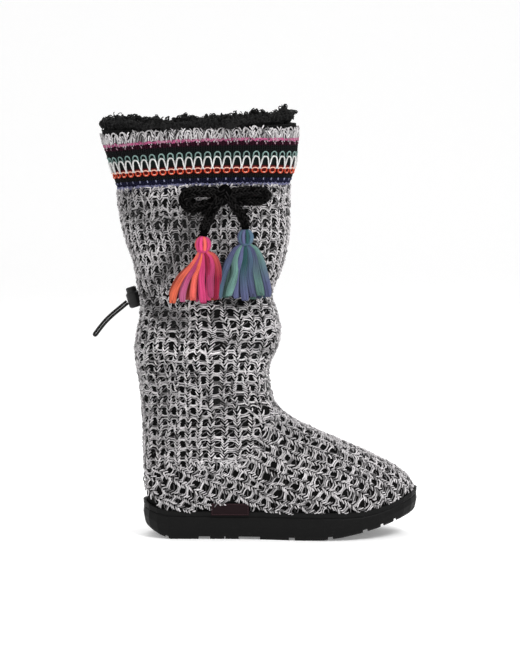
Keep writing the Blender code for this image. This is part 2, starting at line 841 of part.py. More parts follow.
def main():
    clear_scene()
    parts = new_collection("knit slipper boot")
    cutters = new_collection("cutters", helper=True)
    build_outsole(parts, cutters)
    build_insole(parts)
    build_upper(parts)
    build_fleece(parts)
    build_label(parts)
    build_bow(parts)
    build_tassel("tassel_pink", 0.0247, 0.2865, -0.0092, (0.75, 0.16, 0.25), parts, cutters)
    build_tassel("tassel_blue", 0.0652, 0.2932, 0.0, (0.10, 0.24, 0.38), parts, cutters)
    build_cord_lock(parts)
    build_drawcord(parts)


main()
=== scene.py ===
# %% [markdown]
# # A knitted slipper boot, stitch by stitch
# The real boot is a tall tube of two-coloured marled yarn with a striped cuff, a roll of black
# curly fleece in its mouth, a crocheted bow with two tassels, a cord lock behind the ankle and
# a moulded rubber sole. The solids come from the CAD model. Here each one gets its real
# surface, and every new piece stays where its solid is.

# %% Load the CAD model
import math

import bpy
import numpy as np
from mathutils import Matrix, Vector
from mathutils.bvhtree import BVHTree


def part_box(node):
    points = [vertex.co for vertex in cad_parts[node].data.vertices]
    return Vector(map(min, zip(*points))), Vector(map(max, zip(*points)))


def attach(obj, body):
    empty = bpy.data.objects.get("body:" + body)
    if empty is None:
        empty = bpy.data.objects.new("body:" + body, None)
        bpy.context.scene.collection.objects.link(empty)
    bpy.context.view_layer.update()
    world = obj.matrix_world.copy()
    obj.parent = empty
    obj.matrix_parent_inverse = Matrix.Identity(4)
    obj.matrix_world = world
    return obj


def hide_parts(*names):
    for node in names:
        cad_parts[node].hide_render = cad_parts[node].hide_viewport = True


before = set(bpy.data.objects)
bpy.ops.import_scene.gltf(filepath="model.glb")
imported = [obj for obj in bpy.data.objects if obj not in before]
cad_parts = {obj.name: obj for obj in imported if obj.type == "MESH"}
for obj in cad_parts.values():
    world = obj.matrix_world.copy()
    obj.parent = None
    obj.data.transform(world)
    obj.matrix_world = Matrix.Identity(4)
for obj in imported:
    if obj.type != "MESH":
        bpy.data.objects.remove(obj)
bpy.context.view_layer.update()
dice = np.random.default_rng(7)

# %% [markdown]
# ## The camera
# The photograph was taken from about two metres away, from a little above the middle of the
# boot. A long lens keeps the sole and the collar from spreading. A camera is easiest to place
# by two points: where it stands, and what it looks at. The picture's colours are plain ones, so
# the standard view is set, which shows a colour as it was given and lets white paper be white.

# %% Camera
CAMERA_PLACE = Vector((0.079, -2.0, 0.348))
LOOK_AT = Vector((0.079, 0.0, 0.206))
bpy.ops.object.camera_add(location=CAMERA_PLACE)
camera = bpy.context.object
camera.name = "photo_camera"
camera.rotation_euler = (LOOK_AT - CAMERA_PLACE).to_track_quat("-Z", "Y").to_euler()
camera.data.sensor_width = 36
camera.data.lens = 113.26
bpy.context.scene.camera = camera
bpy.context.scene.view_settings.view_transform = "Standard"
print("camera looks down by", round(90 - math.degrees(camera.rotation_euler.x), 1), "degrees")

# %% [markdown]
# ## Yarn as swept rings
# Nearly all of this boot is yarn. A strand is a ring of points carried along a path, with a
# cap at each end. The ring is kept from twisting by turning the last ring only as far as the
# path bends. A strand knows how far along it each point is, so fibres can follow it.

# %% Strands
def sweep(path, radius, sides=4):
    """Points, faces and UVs of a strand along a path."""
    path = np.asarray(path, float)
    radii = np.broadcast_to(np.asarray(radius, float), (len(path),))
    run = np.gradient(path, axis=0)
    run /= np.linalg.norm(run, axis=1)[:, None]
    side = np.cross(run[0], (0.31, 0.52, 0.79))
    angles = np.linspace(0, math.tau, sides, endpoint=False)
    rings = []
    for place, ahead, reach in zip(path, run, radii):
        side = side - ahead * side.dot(ahead)
        side /= np.linalg.norm(side)
        other = np.cross(ahead, side)
        ring = np.outer(np.cos(angles), side) + np.outer(np.sin(angles), other)
        rings.append(place + ring * reach)
    points = np.concatenate(rings)
    faces = []
    for row in range(len(path) - 1):
        low, high = row * sides, (row + 1) * sides
        for k in range(sides):
            j = (k + 1) % sides
            faces.append((low + k, low + j, high + j, high + k))
    top = (len(path) - 1) * sides
    for k in range(sides // 2 - 1):
        cap = (k, k + 1, sides - 2 - k, sides - 1 - k)
        faces.append(tuple(reversed(cap)))
        faces.append(tuple(top + i for i in cap))
    steps = np.linalg.norm(np.diff(path, axis=0), axis=1)
    along = np.repeat(np.concatenate([[0], np.cumsum(steps)]), sides)
    about = np.tile(angles / math.tau, len(path))
    return points, np.array(faces), np.stack([along, about], axis=1)


def smooth_path(rows, count):
    """Evenly spaced points on a smooth curve through a few given ones."""
    rows = np.asarray(rows, float)
    marks = np.concatenate([[0], np.cumsum(np.linalg.norm(np.diff(rows, axis=0), axis=1))])
    slopes = np.gradient(rows, marks, axis=0)
    at = np.linspace(0, marks[-1], count)
    k = np.clip(np.searchsorted(marks, at, side="right") - 1, 0, len(rows) - 2)
    span = (marks[k + 1] - marks[k])[:, None]
    u = ((at - marks[k]) / span[:, 0])[:, None]
    start, end = rows[k], rows[k + 1]
    rise = 3 * u**2 - 2 * u**3
    bend = (u**3 - 2 * u**2 + u) * span * slopes[k] + (u**3 - u**2) * span * slopes[k + 1]
    return start + (end - start) * rise + bend


def one_mesh(name, strands, material, smooth=True):
    """One object from many strands, each with a colour of its own."""
    points, faces, uvs, tints = [], [], [], []
    offset = 0
    for strand_points, strand_faces, strand_uvs, tint in strands:
        points.append(strand_points)
        faces.append(strand_faces + offset)
        uvs.append(strand_uvs)
        tints.append(np.broadcast_to(np.asarray(tint, float), (len(strand_points), 3)))
        offset += len(strand_points)
    points, faces = np.concatenate(points), np.concatenate(faces)
    uvs, tints = np.concatenate(uvs), np.concatenate(tints)
    mesh = bpy.data.meshes.new(name)
    mesh.from_pydata(points.tolist(), [], faces.tolist())
    layer = mesh.uv_layers.new(name="yarn")
    layer.data.foreach_set("uv", uvs[faces.ravel()].astype(np.float32).ravel())
    colour = mesh.color_attributes.new("tint", "FLOAT_COLOR", "POINT")
    full = np.concatenate([tints, np.ones((len(tints), 1))], axis=1)
    colour.data.foreach_set("color", full.astype(np.float32).ravel())
    mesh.materials.append(material)
    piece = bpy.data.objects.new(name, mesh)
    bpy.context.scene.collection.objects.link(piece)
    if smooth:
        mesh.shade_smooth()
    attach(piece, "boot")
    print(name, len(faces), "faces")
    return piece


# %% [markdown]
# ## Shared shader effects
# Wool, roving and cord all have fine fibres, and rubber and plastic have a moulded grain. Both
# are node groups, built once and placed in each material with its own numbers. Everything
# reads Object coordinates or the strand's own UV map, so nothing slides when the view turns.

# %% Node helpers
def new_group(name, inputs, outputs):
    group = bpy.data.node_groups.new(name, "ShaderNodeTree")
    for label, kind, value in inputs:
        socket = group.interface.new_socket(label, in_out="INPUT", socket_type=kind)
        if value is not None:
            socket.default_value = value
    for label, kind in outputs:
        group.interface.new_socket(label, in_out="OUTPUT", socket_type=kind)
    nodes = group.nodes
    return group, nodes.new("NodeGroupInput"), nodes.new("NodeGroupOutput")


def noise(nodes, scale, detail=2.0, roughness=0.5):
    node = nodes.new("ShaderNodeTexNoise")
    node.inputs["Scale"].default_value = scale
    node.inputs["Detail"].default_value = detail
    node.inputs["Roughness"].default_value = roughness
    return node


def ramp(nodes, stops):
    """A colour ramp from (place, colour) pairs."""
    node = nodes.new("ShaderNodeValToRGB")
    band = node.color_ramp
    while len(band.elements) < len(stops):
        band.elements.new(0.5)
    for element, (place, colour) in zip(band.elements, stops):
        element.position = place
        element.color = (*colour, 1.0)
    return node


def grey(value):
    return (value, value, value)


def mix(nodes, links, factor, first, second, blend="MIX"):
    node = nodes.new("ShaderNodeMix")
    node.data_type = "RGBA"
    node.blend_type = blend
    for socket, value in ((0, factor), (6, first), (7, second)):
        if isinstance(value, bpy.types.NodeSocket):
            links.new(value, node.inputs[socket])
        elif socket == 0:
            node.inputs[0].default_value = value
        else:
            node.inputs[socket].default_value = (*value, 1.0)
    return node.outputs[2]


# %% Grain group
grain, grain_in, grain_out = new_group(
    "fine grain",
    [("Scale", "NodeSocketFloat", 900.0), ("Strength", "NodeSocketFloat", 0.3)],
    [("Normal", "NodeSocketVector"), ("Mask", "NodeSocketFloat")],
)
where = grain.nodes.new("ShaderNodeTexCoord")
speckle = noise(grain.nodes, 900, 3.0, 0.6)
rise = grain.nodes.new("ShaderNodeBump")
rise.inputs["Distance"].default_value = 0.0003
grain.links.new(where.outputs["Object"], speckle.inputs["Vector"])
grain.links.new(grain_in.outputs["Scale"], speckle.inputs["Scale"])
grain.links.new(speckle.outputs["Fac"], rise.inputs["Height"])
grain.links.new(grain_in.outputs["Strength"], rise.inputs["Strength"])
grain.links.new(rise.outputs["Normal"], grain_out.inputs["Normal"])
grain.links.new(speckle.outputs["Fac"], grain_out.inputs["Mask"])

# %% Fibre group
fibre, fibre_in, fibre_out = new_group(
    "fibres along the yarn",
    [
        ("Along", "NodeSocketFloat", 300.0),
        ("Across", "NodeSocketFloat", 9.0),
        ("Strength", "NodeSocketFloat", 0.5),
    ],
    [("Normal", "NodeSocketVector"), ("Mask", "NodeSocketFloat")],
)
where = fibre.nodes.new("ShaderNodeUVMap")
where.uv_map = "yarn"
stretch = fibre.nodes.new("ShaderNodeCombineXYZ")
scaled = fibre.nodes.new("ShaderNodeVectorMath")
scaled.operation = "MULTIPLY"
hairs = noise(fibre.nodes, 1.0, 3.0, 0.65)
rise = fibre.nodes.new("ShaderNodeBump")
rise.inputs["Distance"].default_value = 0.0004
fibre.links.new(fibre_in.outputs["Along"], stretch.inputs["X"])
fibre.links.new(fibre_in.outputs["Across"], stretch.inputs["Y"])
fibre.links.new(where.outputs["UV"], scaled.inputs[0])
fibre.links.new(stretch.outputs["Vector"], scaled.inputs[1])
fibre.links.new(scaled.outputs["Vector"], hairs.inputs["Vector"])
fibre.links.new(hairs.outputs["Fac"], rise.inputs["Height"])
fibre.links.new(fibre_in.outputs["Strength"], rise.inputs["Strength"])
fibre.links.new(rise.outputs["Normal"], fibre_out.inputs["Normal"])
fibre.links.new(hairs.outputs["Fac"], fibre_out.inputs["Mask"])
print("groups", [group.name for group in bpy.data.node_groups])

# %% Material maker
def new_material(name, roughness, sheen=0.0, specular=0.12):
    material = bpy.data.materials.new(name)
    material.use_nodes = True
    nodes, links = material.node_tree.nodes, material.node_tree.links
    shader = nodes["Principled BSDF"]
    shader.inputs["Roughness"].default_value = roughness
    shader.inputs["Specular IOR Level"].default_value = specular
    shader.inputs["Sheen Weight"].default_value = sheen
    shader.inputs["Sheen Roughness"].default_value = 0.5
    return material, nodes, links, shader


def add_grain(nodes, links, shader, scale, strength):
    group = nodes.new("ShaderNodeGroup")
    group.node_tree = grain
    group.inputs["Scale"].default_value = scale
    group.inputs["Strength"].default_value = strength
    links.new(group.outputs["Normal"], shader.inputs["Normal"])
    return group.outputs["Mask"]


def add_fibres(nodes, links, shader, along, across, strength):
    group = nodes.new("ShaderNodeGroup")
    group.node_tree = fibre
    group.inputs["Along"].default_value = along
    group.inputs["Across"].default_value = across
    group.inputs["Strength"].default_value = strength
    links.new(group.outputs["Normal"], shader.inputs["Normal"])
    return group.outputs["Mask"]


def tint_of(nodes):
    node = nodes.new("ShaderNodeAttribute")
    node.attribute_name = "tint"
    return node.outputs["Color"]


# %% Yarn materials
marl, nodes, links, shader = new_material("marled yarn", 0.85)
fuzz = add_fibres(nodes, links, shader, 900, 3, 0.4)
shade = ramp(nodes, [(0.28, grey(0.40)), (0.52, grey(1.0)), (0.75, grey(1.15))])
links.new(fuzz, shade.inputs["Fac"])
links.new(mix(nodes, links, 1.0, tint_of(nodes), shade.outputs["Color"], "MULTIPLY"), shader.inputs["Base Color"])

roving, nodes, links, shader = new_material("loose roving", 0.8, sheen=0.08)
fuzz = add_fibres(nodes, links, shader, 45, 26, 0.9)
shade = ramp(nodes, [(0.32, grey(0.35)), (0.5, grey(0.85)), (0.7, grey(1.3))])
links.new(fuzz, shade.inputs["Fac"])
links.new(mix(nodes, links, 1.0, tint_of(nodes), shade.outputs["Color"], "MULTIPLY"), shader.inputs["Base Color"])

crochet, nodes, links, shader = new_material("black crochet cord", 0.8, specular=0.03)
fuzz = add_fibres(nodes, links, shader, 700, 12, 0.8)
shade = ramp(nodes, [(0.3, grey(0.6)), (0.7, grey(1.3))])
links.new(fuzz, shade.inputs["Fac"])
links.new(mix(nodes, links, 1.0, tint_of(nodes), shade.outputs["Color"], "MULTIPLY"), shader.inputs["Base Color"])

pile, nodes, links, shader = new_material("black curly pile", 0.9, sheen=0.03)
fuzz = add_grain(nodes, links, shader, 700, 0.8)
shade = ramp(nodes, [(0.3, grey(0.002)), (0.75, grey(0.020))])
links.new(fuzz, shade.inputs["Fac"])
links.new(shade.outputs["Color"], shader.inputs["Base Color"])

# %% [markdown]
# ## The cloth under the stitches
# Through the holes of the knit a dark backing shows, and inside the shaft the black fleece
# lining. Both are the two sides of the upper's wall. A copy of the CAD wall is merged, turned
# back into quads and subdivided. Then the gathers are pressed in: each is a line in the boot's
# own sizes with a depth and a width, soft at its edges. They run out from the cord lock, where
# the drawcord bunches the knit.

# %% Copy and smooth the wall
def merged_copy(node, name, levels):
    bpy.ops.object.select_all(action="DESELECT")
    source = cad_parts[node]
    mesh = source.data.copy()
    mesh.name = name
    copy = bpy.data.objects.new(name, mesh)
    bpy.context.scene.collection.objects.link(copy)
    mesh.materials.clear()
    bpy.context.view_layer.objects.active = copy
    copy.select_set(True)
    bpy.ops.object.mode_set(mode="EDIT")
    bpy.ops.mesh.select_all(action="SELECT")
    bpy.ops.mesh.remove_doubles(threshold=0.00001)
    bpy.ops.mesh.tris_convert_to_quads(face_threshold=0.9, shape_threshold=0.9)
    bpy.ops.object.mode_set(mode="OBJECT")
    if levels:
        smoother = copy.modifiers.new("smooth", "SUBSURF")
        smoother.levels = levels
        smoother.render_levels = levels
        bpy.ops.object.modifier_apply(modifier=smoother.name)
    copy.data.shade_smooth()
    copy.select_set(False)
    return copy


def points_of(piece):
    values = np.empty(len(piece.data.vertices) * 3, np.float32)
    piece.data.vertices.foreach_get("co", values)
    return values.reshape(-1, 3).astype(float)


def normals_of(piece):
    values = np.empty(len(piece.data.vertices) * 3, np.float32)
    piece.data.vertex_normals.foreach_get("vector", values)
    return values.reshape(-1, 3).astype(float)


def tree_of(points, piece):
    faces = [tuple(face.vertices) for face in piece.data.polygons]
    return BVHTree.FromPolygons([Vector(point) for point in points], faces)


cloth = merged_copy("upper", "knit_backing", 2)
plain_points = points_of(cloth)
plain_tree = tree_of(plain_points, cloth)
print("backing", len(cloth.data.polygons), "faces")

# %% Gathers and folds
# Along the boot and up, in metres, then how far in or out and how wide.
# The folds' depths also set painted shade in troughs and painted light on ridges in the knit's yarn colour.
FOLDS = (
    (((0.0185, 0.314), (0.0042, 0.284), (-0.0073, 0.268), (-0.025, 0.2416)), -0.0062, 0.0090),
    (((-0.026, 0.228), (-0.012, 0.219), (0.000, 0.214)), -0.0054, 0.0110),
    (((-0.030, 0.242), (-0.004, 0.236), (0.034, 0.225)), 0.0036, 0.0075),
    (((-0.050, 0.324), (-0.030, 0.312), (-0.008, 0.304)), -0.0034, 0.0150),
    (((0.0434, 0.290), (0.0440, 0.266)), -0.0040, 0.0085),
    (((0.036, 0.236), (0.050, 0.230)), -0.0034, 0.0070),
    (((0.094, 0.247), (0.070, 0.241), (0.056, 0.236)), -0.0030, 0.0075),
    (((0.040, 0.196), (0.066, 0.190), (0.090, 0.180)), -0.0030, 0.0070),
    (((0.062, 0.218), (0.084, 0.213)), 0.0020, 0.0100),
    (((-0.008, 0.184), (0.028, 0.182), (0.060, 0.177), (0.080, 0.166)), 0.0026, 0.0090),
    (((0.036, 0.150), (0.042, 0.130)), -0.0026, 0.0110),
    (((-0.014, 0.176), (-0.012, 0.140), (-0.014, 0.100)), -0.0022, 0.0110),
    (((0.100, 0.108), (0.122, 0.096), (0.140, 0.082)), -0.0020, 0.0070),
    (((0.070, 0.112), (0.046, 0.088), (0.030, 0.074)), 0.0018, 0.0100),
)


def fold_depth(points):
    """How far each point moves out, from its distance to the fold lines."""
    flat = points[:, [0, 2]]
    moved = np.zeros(len(points))
    for line, depth, width in FOLDS:
        line = np.array(line)
        near = np.full(len(points), 1.0)
        for start, end in zip(line, line[1:]):
            span = end - start
            share = np.clip((flat - start) @ span / (span @ span), 0, 1)
            near = np.minimum(near, np.linalg.norm(flat - start - share[:, None] * span, axis=1))
        moved += depth * np.exp(-((near / width) ** 2))
    return moved


BACKING_SINK = 0.0010
outward = normals_of(cloth)
middle_y = 0.0
outside = outward[:, 1] * (plain_points[:, 1] - middle_y) + outward[:, 0] * (
    plain_points[:, 0] - 0.02
) > -0.002
side_share = np.clip(-outward[:, 1] * 1.4, 0, 1)
far_share = np.clip(outward[:, 1] * 1.4, 0, 1) * 0.7
folded = fold_depth(plain_points) * np.where(outside, side_share + far_share, 0)
surface_points = plain_points + outward * folded[:, None]
surface_tree = tree_of(surface_points, cloth)
sunk = surface_points - outward * np.where(outside, BACKING_SINK, 0.0)[:, None]
cloth.data.vertices.foreach_set("co", sunk.astype(np.float32).ravel())
cloth.data.update()
print("folds move the knit by", round(1000 * float(np.abs(folded).max()), 1), "mm at most")

# %% Backing colours by height
# The cuff's stripes are knitted in, so the backing is dyed by its height above the floor.
# Seen from the side the stripes are also a little higher in the middle than at the edges.
COLLAR_TILT = math.tan(math.radians(2.2))
SHAFT_START, SHAFT_TOP = 0.121, 0.398


def crown(x, y, level):
    """How much higher the rows run in the middle of the outer side."""
    middle = np.clip(1 - ((x - 0.022) / 0.092) ** 2, 0, 1)
    rise = np.clip((level - 0.250) / 0.080, 0, 1)
    return 0.0037 * middle * rise * np.clip(-y / 0.020, 0, 1)


def level_of(points):
    """Height on the shaft with its tilt taken out."""
    share = np.clip((points[:, 2] - SHAFT_START) / (SHAFT_TOP - SHAFT_START), 0, 1)
    tilt = (points[:, 0] - 0.0195) * COLLAR_TILT * share
    far = 0.006 * (points[:, 1] / 0.092 + 0.5) * share**3
    level = points[:, 2] - tilt - far
    return level - crown(points[:, 0], points[:, 1], level)


levels = cloth.data.attributes.new("level", "FLOAT", "POINT")
levels.data.foreach_set("value", level_of(sunk).astype(np.float32))
backing, nodes, links, shader = new_material("dark backing and stripes", 0.95)
height = nodes.new("ShaderNodeAttribute")
height.attribute_name = "level"
spread = nodes.new("ShaderNodeMapRange")
spread.inputs["From Min"].default_value = 0.334
spread.inputs["From Max"].default_value = 0.400
links.new(height.outputs["Fac"], spread.inputs["Value"])
stripes = ramp(
    nodes,
    [
        (0.00, grey(0.004)),
        (0.05, (0.010, 0.010, 0.022)),
        (0.15, (0.006, 0.007, 0.020)),
        (0.20, grey(0.005)),
        (0.25, (0.020, 0.003, 0.003)),
        (0.29, (0.110, 0.009, 0.009)),
        (0.34, (0.150, 0.012, 0.014)),
        (0.36, grey(0.006)),
        (0.46, (0.006, 0.012, 0.012)),
        (0.62, grey(0.005)),
        (0.70, (0.030, 0.005, 0.016)),
        (0.76, (0.045, 0.006, 0.022)),
        (0.82, grey(0.004)),
    ],
)
links.new(spread.outputs["Result"], stripes.inputs["Fac"])
links.new(stripes.outputs["Color"], shader.inputs["Base Color"])
add_grain(nodes, links, shader, 600, 0.5)
cloth.data.materials.append(backing)
cloth.data.materials.append(pile)
inner = [0 if outside[list(face.vertices)].mean() > 0.5 else 1 for face in cloth.data.polygons]
cloth.data.polygons.foreach_set("material_index", inner)
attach(cloth, "boot")
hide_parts("upper")
print("lining faces", sum(inner))

# %% [markdown]
# ## Laying rows and columns on the boot
# Stitches sit on a grid that follows the cloth. On the shaft the grid is read by looking in
# from all round at each height. Over the foot the rows turn down towards the toe, so there the
# slices are tilted to the slope of the instep. Each slice is measured with a tape, so stitches
# keep their width where the boot widens.

# %% Slices round the shaft
def first_hit(tree, inside, direction):
    """The outermost point of the boot on a ray from far outside."""
    start = Vector(inside) + Vector(direction) * 0.5
    place = tree.ray_cast(start, -Vector(direction), 0.5)[0]
    return None if place is None else np.array(place)


def tape(points, marks):
    """Points at these distances along a row of points."""
    lengths = np.linalg.norm(np.diff(points, axis=0), axis=1)
    run = np.concatenate([[0], np.cumsum(lengths)])
    return np.stack([np.interp(marks, run, points[:, axis]) for axis in range(3)], axis=1)


def shaft_lift(level, place):
    """How far the shaft's tilt raises a place that belongs to a level."""
    share = min(max((level - SHAFT_START) / (SHAFT_TOP - SHAFT_START), 0), 1)
    tilt = (place[0] - 0.0195) * COLLAR_TILT * share
    far = 0.006 * (place[1] / 0.092 + 0.5) * share**3
    return tilt + far + float(crown(place[0], place[1], level))


def shaft_slice(level, count=120):
    """A closed row of points round the shaft at a height, from the outer side's middle."""
    found = []
    for turn in np.linspace(-math.pi / 2, 1.5 * math.pi, count + 1):
        direction = (math.cos(turn), math.sin(turn), 0)
        place = (0.020 + 0.090 * direction[0], 0.046 * direction[1])
        for _ in range(2):
            z = level + shaft_lift(level, place)
            place, below = None, z
            while place is None:
                place = first_hit(surface_tree, (0.020, 0.0, below), direction)
                below -= 0.0005
            place[2] = z
        found.append(place)
    return np.array(found)


def halves(ring):
    """Lengths of a slice over the front half and all round."""
    steps = np.linalg.norm(np.diff(ring, axis=0), axis=1)
    return steps[: len(steps) // 2].sum(), steps.sum()


def shaft_grid(levels, columns):
    """Evenly spaced places round each level. Below the instep the front keeps its spacing."""
    front_of_ankle = halves(shaft_slice(0.126))[0]
    rows = []
    for level in levels:
        ring = shaft_slice(level)
        front, total = halves(ring)
        reach = front_of_ankle if level < 0.126 else front
        share = np.linspace(0, 1, columns + 1)
        outer_front = share * 2 * reach
        inner_front = front - (0.5 - share) * 2 * reach
        back = front + (share - 0.5) * 2 * (total - front)
        marks = np.where(share <= 0.25, outer_front, np.where(share <= 0.5, inner_front, back))
        rows.append(tape(ring, marks))
    return np.array(rows)


# %% Slices across the foot
SLOPE = math.radians(26)
AHEAD = np.array((math.cos(SLOPE), 0, -math.sin(SLOPE)))
UPWARD = np.array((math.sin(SLOPE), 0, math.cos(SLOPE)))
INSTEP_AHEAD = 0.0351
SIDE_LINE = 0.110


def foot_slice(ahead, side):
    """Points down one side of a tilted slice of the foot, from the ridge or the shaft."""
    low = (0.036 + ahead * math.sin(SLOPE)) / math.cos(SLOPE)
    centre_up = 0.085 if ahead < INSTEP_AHEAD else max(0.085, low + 0.25 * (0.148 - low))
    inside = AHEAD * ahead + UPWARD * centre_up
    found = []
    for turn in np.linspace(0, math.pi, 61):
        direction = UPWARD * math.cos(turn) + np.array((0, side * math.sin(turn), 0))
        place = first_hit(surface_tree, inside, direction)
        if place is not None:
            found.append(place)
    return np.array(found)


def arc_to(points, height):
    """Distance down a slice to where it falls below a height on the slope."""
    lengths = np.linalg.norm(np.diff(points, axis=0), axis=1)
    run = np.concatenate([[0], np.cumsum(lengths)])
    below = np.argmax(points @ UPWARD < height)
    return run[below]


def foot_grid(aheads, side, columns, pitch):
    ridge_to_line = arc_to(foot_slice(INSTEP_AHEAD, side), SIDE_LINE)
    rows = []
    for ahead in aheads:
        points = foot_slice(ahead, side)
        start = 0.0
        if ahead < INSTEP_AHEAD:
            start = arc_to(points, SIDE_LINE) - ridge_to_line
        rows.append(tape(points, start + np.arange(columns + 1) * pitch))
    return np.array(rows)


# %% Where the two directions of knitting meet
def mitre(x):
    return np.interp(x, (-0.045, 0.060, 0.098), (0.072, 0.074, 0.121))


def rim(x):
    """Height of the rubber rim, so no stitch is knitted inside the sole."""
    heel = 0.0085 * np.clip(-x / 0.036, 0, 1) ** 2
    toe = 0.0195 * np.clip((x - 0.165) / 0.069, 0, 1) ** 1.8
    return 0.0275 + heel + toe


HALF = 2
UPPER_WALES, LOWER_WALES = 43, 30
UPPER_ROWS, LOWER_ROWS = 10, 16
upper_levels = np.linspace(0.2365, 0.3400, UPPER_ROWS * HALF + 1)
lower_levels = np.linspace(0.0680, 0.2365, LOWER_ROWS * HALF + 1)
upper_grid = shaft_grid(upper_levels, UPPER_WALES * HALF)
lower_grid = shaft_grid(lower_levels, LOWER_WALES * HALF)
FOOT_ROW, FOOT_WALE, FOOT_WALES = 0.0096, 0.0117, 13
aheads = np.arange(-0.060, 0.192, FOOT_ROW / HALF)
outer_grid = foot_grid(aheads, -1, FOOT_WALES * HALF, FOOT_WALE / HALF)
inner_grid = foot_grid(aheads, 1, FOOT_WALES * HALF, FOOT_WALE / HALF)
print("grids", upper_grid.shape, lower_grid.shape, outer_grid.shape, inner_grid.shape)

# %% [markdown]
# ## One stitch of the waffle knit
# Columns of small V stitches stand proud. Between them lie holes, and light bridges cross from
# column to column: a floor for the hole above, a roof for the hole below and a ply between. One cell is modelled from thin plies with dark gaps between, and it is copied over the
# grid by its row, its column and its height above the cloth. A slow random drift of the whole
# grid keeps the columns from looking ruled.

# %% One cell of the knit
PLY = 0.00066


def knit_cell(bridge_lift=0.0):
    """Strands of one cell: across and up as shares of the cell, out in metres."""
    strands = []
    for low in (0.00, 0.23, 0.50, 0.73):
        for side in (-1, 1):
            leg = [
                (side * 0.030, low, 0.0014),
                (side * 0.140, low + 0.13, 0.0024),
                (side * 0.265, low + 0.31, 0.0010),
            ]
            strands.append((smooth_path(leg, 4), "light"))
    for edge, middle, out in ((1.17, 1.06, 0.0010), (0.96, 0.94, 0.0012), (0.68, 0.82, 0.0007)):
        slope = (edge + middle * 2) / 3
        out += bridge_lift
        bridge = [(0.16, edge, 0.0006), (0.32, slope, out), (0.50, middle, out)]
        bridge += [(1 - x, z, y) for x, z, y in reversed(bridge[:-1])]
        strands.append((smooth_path(bridge, 6), "light"))
    curl = [(0.34, 0.30, -0.0004), (0.42, 0.44, 0.0001), (0.56, 0.50, 0.0002), (0.64, 0.62, -0.0004)]
    strands.append((smooth_path(curl, 5), "painted_shade_curl"))
    return strands


def between(values, row, column):
    """Values at fractional rows and columns of a grid."""
    row = np.clip(row, 0, values.shape[0] - 1.000001)
    column = np.clip(column, 0, values.shape[1] - 1.000001)
    r, c = row.astype(int), column.astype(int)
    fr, fc = (row - r)[:, None], (column - c)[:, None]
    low = values[r, c] * (1 - fc) + values[r, c + 1] * fc
    high = values[r + 1, c] * (1 - fc) + values[r + 1, c + 1] * fc
    return low * (1 - fr) + high * fr


def surface_at(grid, normals, row, column, closed):
    """Places and outward directions at fractional rows and columns of a grid."""
    if closed:
        column = column % (grid.shape[1] - 1)
    return between(grid, row, column), between(normals, row, column)


def grid_normals(grid, outward_from):
    across = np.gradient(grid, axis=1)
    up = np.gradient(grid, axis=0)
    normals = np.cross(across, up)
    normals /= np.maximum(np.linalg.norm(normals, axis=2), 1e-9)[:, :, None]
    away = ((grid - outward_from) * normals).sum(axis=2)
    return normals * np.where(away < 0, -1, 1)[:, :, None]


def painted_fold_shade(places):
    """Painted shade on yarn in a fold's trough, and painted light on a ridge, on the outer side."""
    depth = fold_depth(places) * np.clip(-places[:, 1] / 0.020, 0, 1)
    return 1 + np.clip(depth / 0.0048, -1.2, 0.3) * 0.52


def ply_colour():
    """Light grey yarn, now and then darker, as marl is."""
    value = 0.56 + dice.normal(0, 0.12)
    if dice.random() < 0.20:
        value *= 0.28
    return np.array((value * 1.01, value * 0.975, value * 0.99))


DRIFT = 0.13


def knit(name, grid, keep, closed, outward_from, bridge_lift=0.0):
    """The cell copied over each pair of rows and columns whose middle is wanted."""
    normals = grid_normals(grid, outward_from)
    cell = knit_cell(bridge_lift)
    rows_here, columns_here = (grid.shape[0] - 1) // HALF, (grid.shape[1] - 1) // HALF
    drift = dice.normal(0, DRIFT, (rows_here + 2, columns_here + 1, 2))
    if closed:
        drift[:, -1] = drift[:, 0]
    strands = []
    for row in range(rows_here):
        for column in range(columns_here):
            middle = grid[row * HALF + 1, column * HALF]
            width = np.linalg.norm(grid[row * HALF + 1, (column + 1) * HALF] - middle)
            if width > 0.020 or not keep(middle):
                continue
            for path, kind in cell:
                if kind == "painted_shade_curl" and dice.random() < 0.45:
                    continue
                bent = path + dice.normal(0, 1, 3) * (0.034, 0.032, 0.00035)
                across, up = column + bent[:, 0], row + bent[:, 1]
                moved = between(drift, up, across % columns_here if closed else across)
                rows, columns = (up + moved[:, 1]) * HALF, (across + moved[:, 0]) * HALF
                places, out = surface_at(grid, normals, rows, columns, closed)
                line = places + out * bent[:, 2:]
                if np.any(line[:, 2] < rim(line[:, 0]) - 0.0028):
                    continue
                radius = PLY * dice.uniform(0.85, 1.12) if kind == "light" else PLY * 0.7
                # A curl in the hole is the same yarn at 0.3 of its colour: painted shade in the hole.
                colour = ply_colour() if kind == "light" else ply_colour() * 0.30
                # Each ply's colour gets painted shade in a fold's trough and painted light on a fold's ridge.
                tints = np.repeat(np.outer(painted_fold_shade(line), colour), 4, axis=0)
                strands.append((*sweep(line, radius), tints))
    return one_mesh(name, strands, marl)


# %% Knit the shaft and the foot
SHAFT_MIDDLE = np.array((0.02, 0.0, 0.2))
knit("knit_upper_shaft", upper_grid, lambda p: True, True, SHAFT_MIDDLE, bridge_lift=-0.0006)
knit("knit_lower_shaft", lower_grid, lambda p: p[2] > mitre(p[0]) - 0.003, True, SHAFT_MIDDLE)


label_low, label_high = (np.array(corner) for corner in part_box("side_label"))


def on_foot(place):
    if place[1] < 0 and np.all(np.abs(place - (label_low + label_high) / 2)[[0, 2]] < (0.0200, 0.0064)):
        return False
    low = 0.004 if place[1] < 0 else 0.009
    overlap = low + 0.012 * np.clip((place[0] - 0.070) / 0.015, 0, 1)
    return rim(place[0]) - 0.008 < place[2] < mitre(place[0]) + overlap


FOOT_MIDDLE = np.array((0.08, 0.0, 0.05))
knit("knit_foot_outer", outer_grid, on_foot, False, FOOT_MIDDLE)
knit("knit_foot_inner", inner_grid, on_foot, False, FOOT_MIDDLE)

